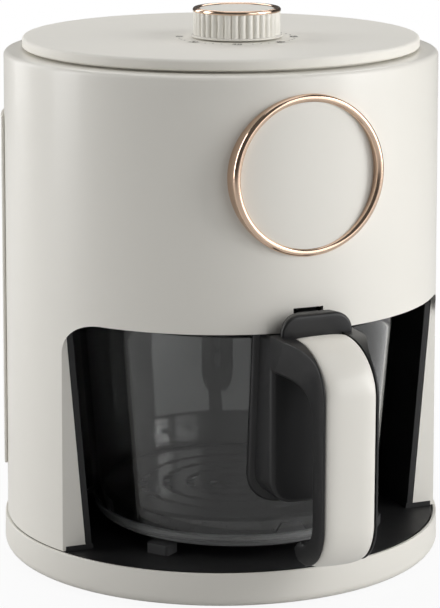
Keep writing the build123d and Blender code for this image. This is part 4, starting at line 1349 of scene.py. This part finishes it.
    def cover(self) -> None:
        """Cream cover: a pillow section carried along the grip's outer line, closed by rounded ends.

        Across the grip x goes as a signed cosine to the power of 0.42 and the height as a sine to the power
        of 0.55, with a slight crown. Near its ends the height follows a quarter circle of cover_end.
        """
        _, seat = self.spine(self.cover_lift)
        _, outer = self.spine(self.cover_t)
        stop = int(np.argmax((outer[:, 0] > -self.cover_stop[0]) & (outer[:, 1] < self.cover_stop[1])))
        seat, outer = seat[:stop + 1], outer[:stop + 1]
        t = np.linspace(0, np.pi, 33)[None, :]
        across = np.sign(np.cos(t)) * np.abs(np.cos(t)) ** 0.42
        lift = np.abs(np.sin(t)) ** 0.55 * (1.0 + self.cover_crown * (1 - across ** 2))
        length = np.concatenate([[0], np.cumsum(np.linalg.norm(np.diff(outer, axis=0), axis=1))])
        near = np.minimum(length, length[-1] - length)
        end = np.sqrt(1 - (1 - np.clip(near / self.cover_end, 0, 1)) ** 2)[:, None]
        x = self.cover_half * across * (0.94 + 0.06 * end)
        yz = seat[:, None, :] + (outer - seat)[:, None, :] * (lift * end)[:, :, None]
        grid = np.concatenate([np.broadcast_to(x, yz.shape[:2])[:, :, None], yz], axis=-1)
        under = grid.copy()
        under[:, :, 1:] = seat[:, None, :]
        Surface().add(grid).add(under, flip=True).build(
            "handle_cover", CREAM, Body.POT, ["grip_cover"], sharp=60)

    def hood(self) -> None:
        """Upright D-shaped plate on the block with a tab that reaches into the drum's slot."""
        skin = Surface()
        depth = self.hood_y[1] - self.hood_y[0]
        inset, ahead = rounding(depth - 1.0, self.hood_round)
        inset = np.concatenate([self.hood_back, inset])
        ahead = np.concatenate([[-1.0, -1.0], ahead])
        draft = self.hood_draft * (1.0 - np.clip(ahead / depth, 0.0, 1.0))
        low = self.handle_top + 0.1
        outline = box_outline(self.hood_half - inset - draft, low + 0.05 * inset, self.hood_top - inset,
                              self.hood_foot, np.maximum(self.hood_corner - inset, 1.0), 10)
        y = -(self.hood_y[0] + 1.0 + ahead)[:, None]
        grid = xyz(outline[..., 0], y, outline[..., 1])
        middle = (0.0, -self.hood_y[1], 0.5 * (low + self.hood_top))
        skin.add(capped(shrunk(grid, middle, (0.5, 0.0)), stop=False), round_u=True)
        inset = np.array([0.0, 0.0, 0.6, 1.6])
        outline = box_outline(self.tab_half - inset, self.tab_z[0] + inset, self.tab_z[1] - inset,
                              self.tab_corner, self.tab_corner, 3)
        y = -np.array([self.hood_y[0] + 0.4, self.tab_tip + 0.6, self.tab_tip, self.tab_tip])[:, None]
        skin.add(capped(xyz(outline[..., 0], y, outline[..., 1])), round_u=True, flip=True)
        skin.build("handle_hood", BLACK, Body.POT, ["hood"], sharp=40)

    def build(self) -> None:
        """Make the glass and the handle."""
        self.vessel()
        self.hook()
        self.block()
        self.cover()
        self.hood()


# ---------------------------------------------------------------- studio


@dataclass(frozen=True)
class Lamp:
    """Soft box that faces the middle of the fryer.

    Its turn is its bearing in degrees, counted from the camera's towards the right, and its rise the angle
    over the ground. The distance and the size (width, height) are in metres, the power in watts.
    """

    name: str
    turn: float
    rise: float
    distance: float
    size: Span
    power: float

    def build(self, azimuth: float) -> None:
        """Make the lamp.

        Args:
            azimuth: the camera's own bearing in degrees.
        """
        data = bpy.data.lights.new(self.name, "AREA")
        data.shape, data.size, data.size_y = "RECTANGLE", *self.size
        data.energy = self.power
        lamp = placed(self.name, data)
        a, e = math.radians(self.turn - azimuth), math.radians(self.rise)
        reach = Vector((math.sin(a) * math.cos(e), -math.cos(a) * math.cos(e), math.sin(e))) * self.distance
        lamp.location = Vector((0.0, DRUM_Y, 0.17)) + reach
        lamp.rotation_euler = reach.to_track_quat("Z", "Y").to_euler()


@dataclass
class Studio:
    """Pale floor, soft lights and the camera at the photograph's angle."""

    azimuth: float = 22.2
    distance: float = 1520.0
    height: float = 503.8
    pitch: float = 13.0
    yaw: float = 0.02
    focal_px: float = 2516.0
    frame_px: tuple[int, int] = (440, 608)
    sensor: float = 36.0
    floor_half: float = 6.0
    paper_tone: float = 0.72
    shadow: Span = (0.35, 0.85)
    shadow_white: float = 0.93
    ambient: float = 0.085
    glass_white: float = 0.3
    lamps: tuple[Lamp, ...] = (
        Lamp("left_box", -85.0, 18.0, 1.7, (0.6, 1.4), 14.4),
        Lamp("left_rim", -125.0, 18.0, 1.7, (0.6, 1.4), 7.0),
        Lamp("right_box", 70.0, 18.0, 1.7, (0.6, 1.4), 13.4),
        Lamp("right_rim", 90.0, 18.0, 1.7, (0.6, 1.4), 4.8),
        Lamp("right_fill", 43.0, 18.0, 1.7, (0.6, 1.4), 5.2),
        Lamp("top_box", 0.0, 88.0, 1.6, (1.2, 1.2), 4.2),
        Lamp("back_box", 180.0, 45.0, 1.8, (1.4, 0.8), 7.6),
    )

    def camera(self) -> None:
        """Camera placed by the fitted view; the frame's long side is its height."""
        data = bpy.data.cameras.new("view")
        data.sensor_width = self.sensor
        data.lens = self.focal_px / max(self.frame_px) * self.sensor
        data.clip_start, data.clip_end = 0.05, 50.0
        camera = placed("view", data)
        a = math.radians(self.azimuth)
        camera.location = (-self.distance * math.sin(a) / MM, -self.distance * math.cos(a) / MM + DRUM_Y,
                           self.height / MM)
        camera.rotation_euler = (math.radians(90.0 - self.pitch), 0.0, math.radians(self.yaw) - a)
        bpy.context.scene.camera = camera

    def floor(self) -> None:
        """Wide pale floor on which the feet stand."""
        mesh = bpy.data.meshes.new("floor")
        corners = [(x * self.floor_half, y * self.floor_half, 0.0) for y in (-1, 1) for x in (-1, 1)]
        mesh.from_pydata(corners, [], [(0, 1, 3, 2)])
        piece = placed("floor", mesh)
        mesh.materials.append(self.paper())

    def paper(self) -> bpy.types.Material:
        """White paper that keeps a faint shadow near the fryer and fades into the white background."""
        nodes = Shader("floor_paper")
        nodes.set(Base_Color=(self.paper_tone,) * 3 + (1.0,), Roughness=0.9, Specular_IOR_Level=0.0)
        glow = nodes.add("ShaderNodeEmission")
        mix = nodes.add("ShaderNodeMixShader")
        path = nodes.add("ShaderNodeLightPath")
        far = nodes.add("ShaderNodeTexGradient", gradient_type="SPHERICAL")
        nodes.link(nodes.place((1.1, 1.1, 1.1)), "Vector", far, "Vector")
        white = nodes.remap(far, "Fac", self.shadow, (1.0, self.shadow_white))
        both = nodes.add("ShaderNodeMath", operation="MULTIPLY")
        nodes.link(path, "Is Camera Ray", both, 0)
        nodes.link(white, "Result", both, 1)
        nodes.link(both, "Value", mix, 0)
        nodes.link(nodes.shader, "BSDF", mix, 1)
        nodes.link(glow, "Emission", mix, 2)
        nodes.link(mix, "Shader", nodes.output, "Surface")
        return nodes.owner

    def world(self) -> None:
        """Even light from all round, and a white background for the camera, which the glass sees in part."""
        world = bpy.data.worlds.new("studio")
        bpy.context.scene.world = world
        nodes = Nodes(world, "ShaderNodeOutputWorld")
        mix = nodes.add("ShaderNodeMixShader")
        soft = nodes.add("ShaderNodeBackground")
        soft.inputs["Color"].default_value = (1.0, 0.99, 0.975, 1.0)
        soft.inputs["Strength"].default_value = self.ambient
        white = nodes.add("ShaderNodeBackground")
        white.inputs["Strength"].default_value = 1.0
        path = nodes.add("ShaderNodeLightPath")
        seen = nodes.add("ShaderNodeMath", operation="MULTIPLY_ADD", use_clamp=True)
        nodes.link(path, "Is Transmission Ray", seen, 0)
        seen.inputs[1].default_value = self.glass_white
        nodes.link(path, "Is Camera Ray", seen, 2)
        nodes.link(seen, 0, mix, 0)
        nodes.link(soft, 0, mix, 1)
        nodes.link(white, 0, mix, 2)
        nodes.link(mix, 0, nodes.output, "Surface")

    def build(self) -> None:
        """Set up the view, the lamps and the floor."""
        bpy.context.scene.view_settings.view_transform = "Standard"
        self.camera()
        self.world()
        self.floor()
        for lamp in self.lamps:
            lamp.build(self.azimuth)


def dress_nodes() -> None:
    """Give every CAD node its finish."""
    for finish, names in NODE_FINISH.items():
        for name in names:
            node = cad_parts[name]
            if not node.material_slots:
                node.data.materials.append(None)
            for slot in node.material_slots:
                slot.material = finish.material()


def main() -> None:
    """Build the fryer piece by piece, then the studio."""
    logging.basicConfig(level=logging.INFO, format="%(message)s")
    dress_nodes()
    drum = Drum()
    drum.build()
    Top().build()
    Accent(drum).build()
    Pot().build()
    Studio().build()


if __name__ == "__main__":
    main()
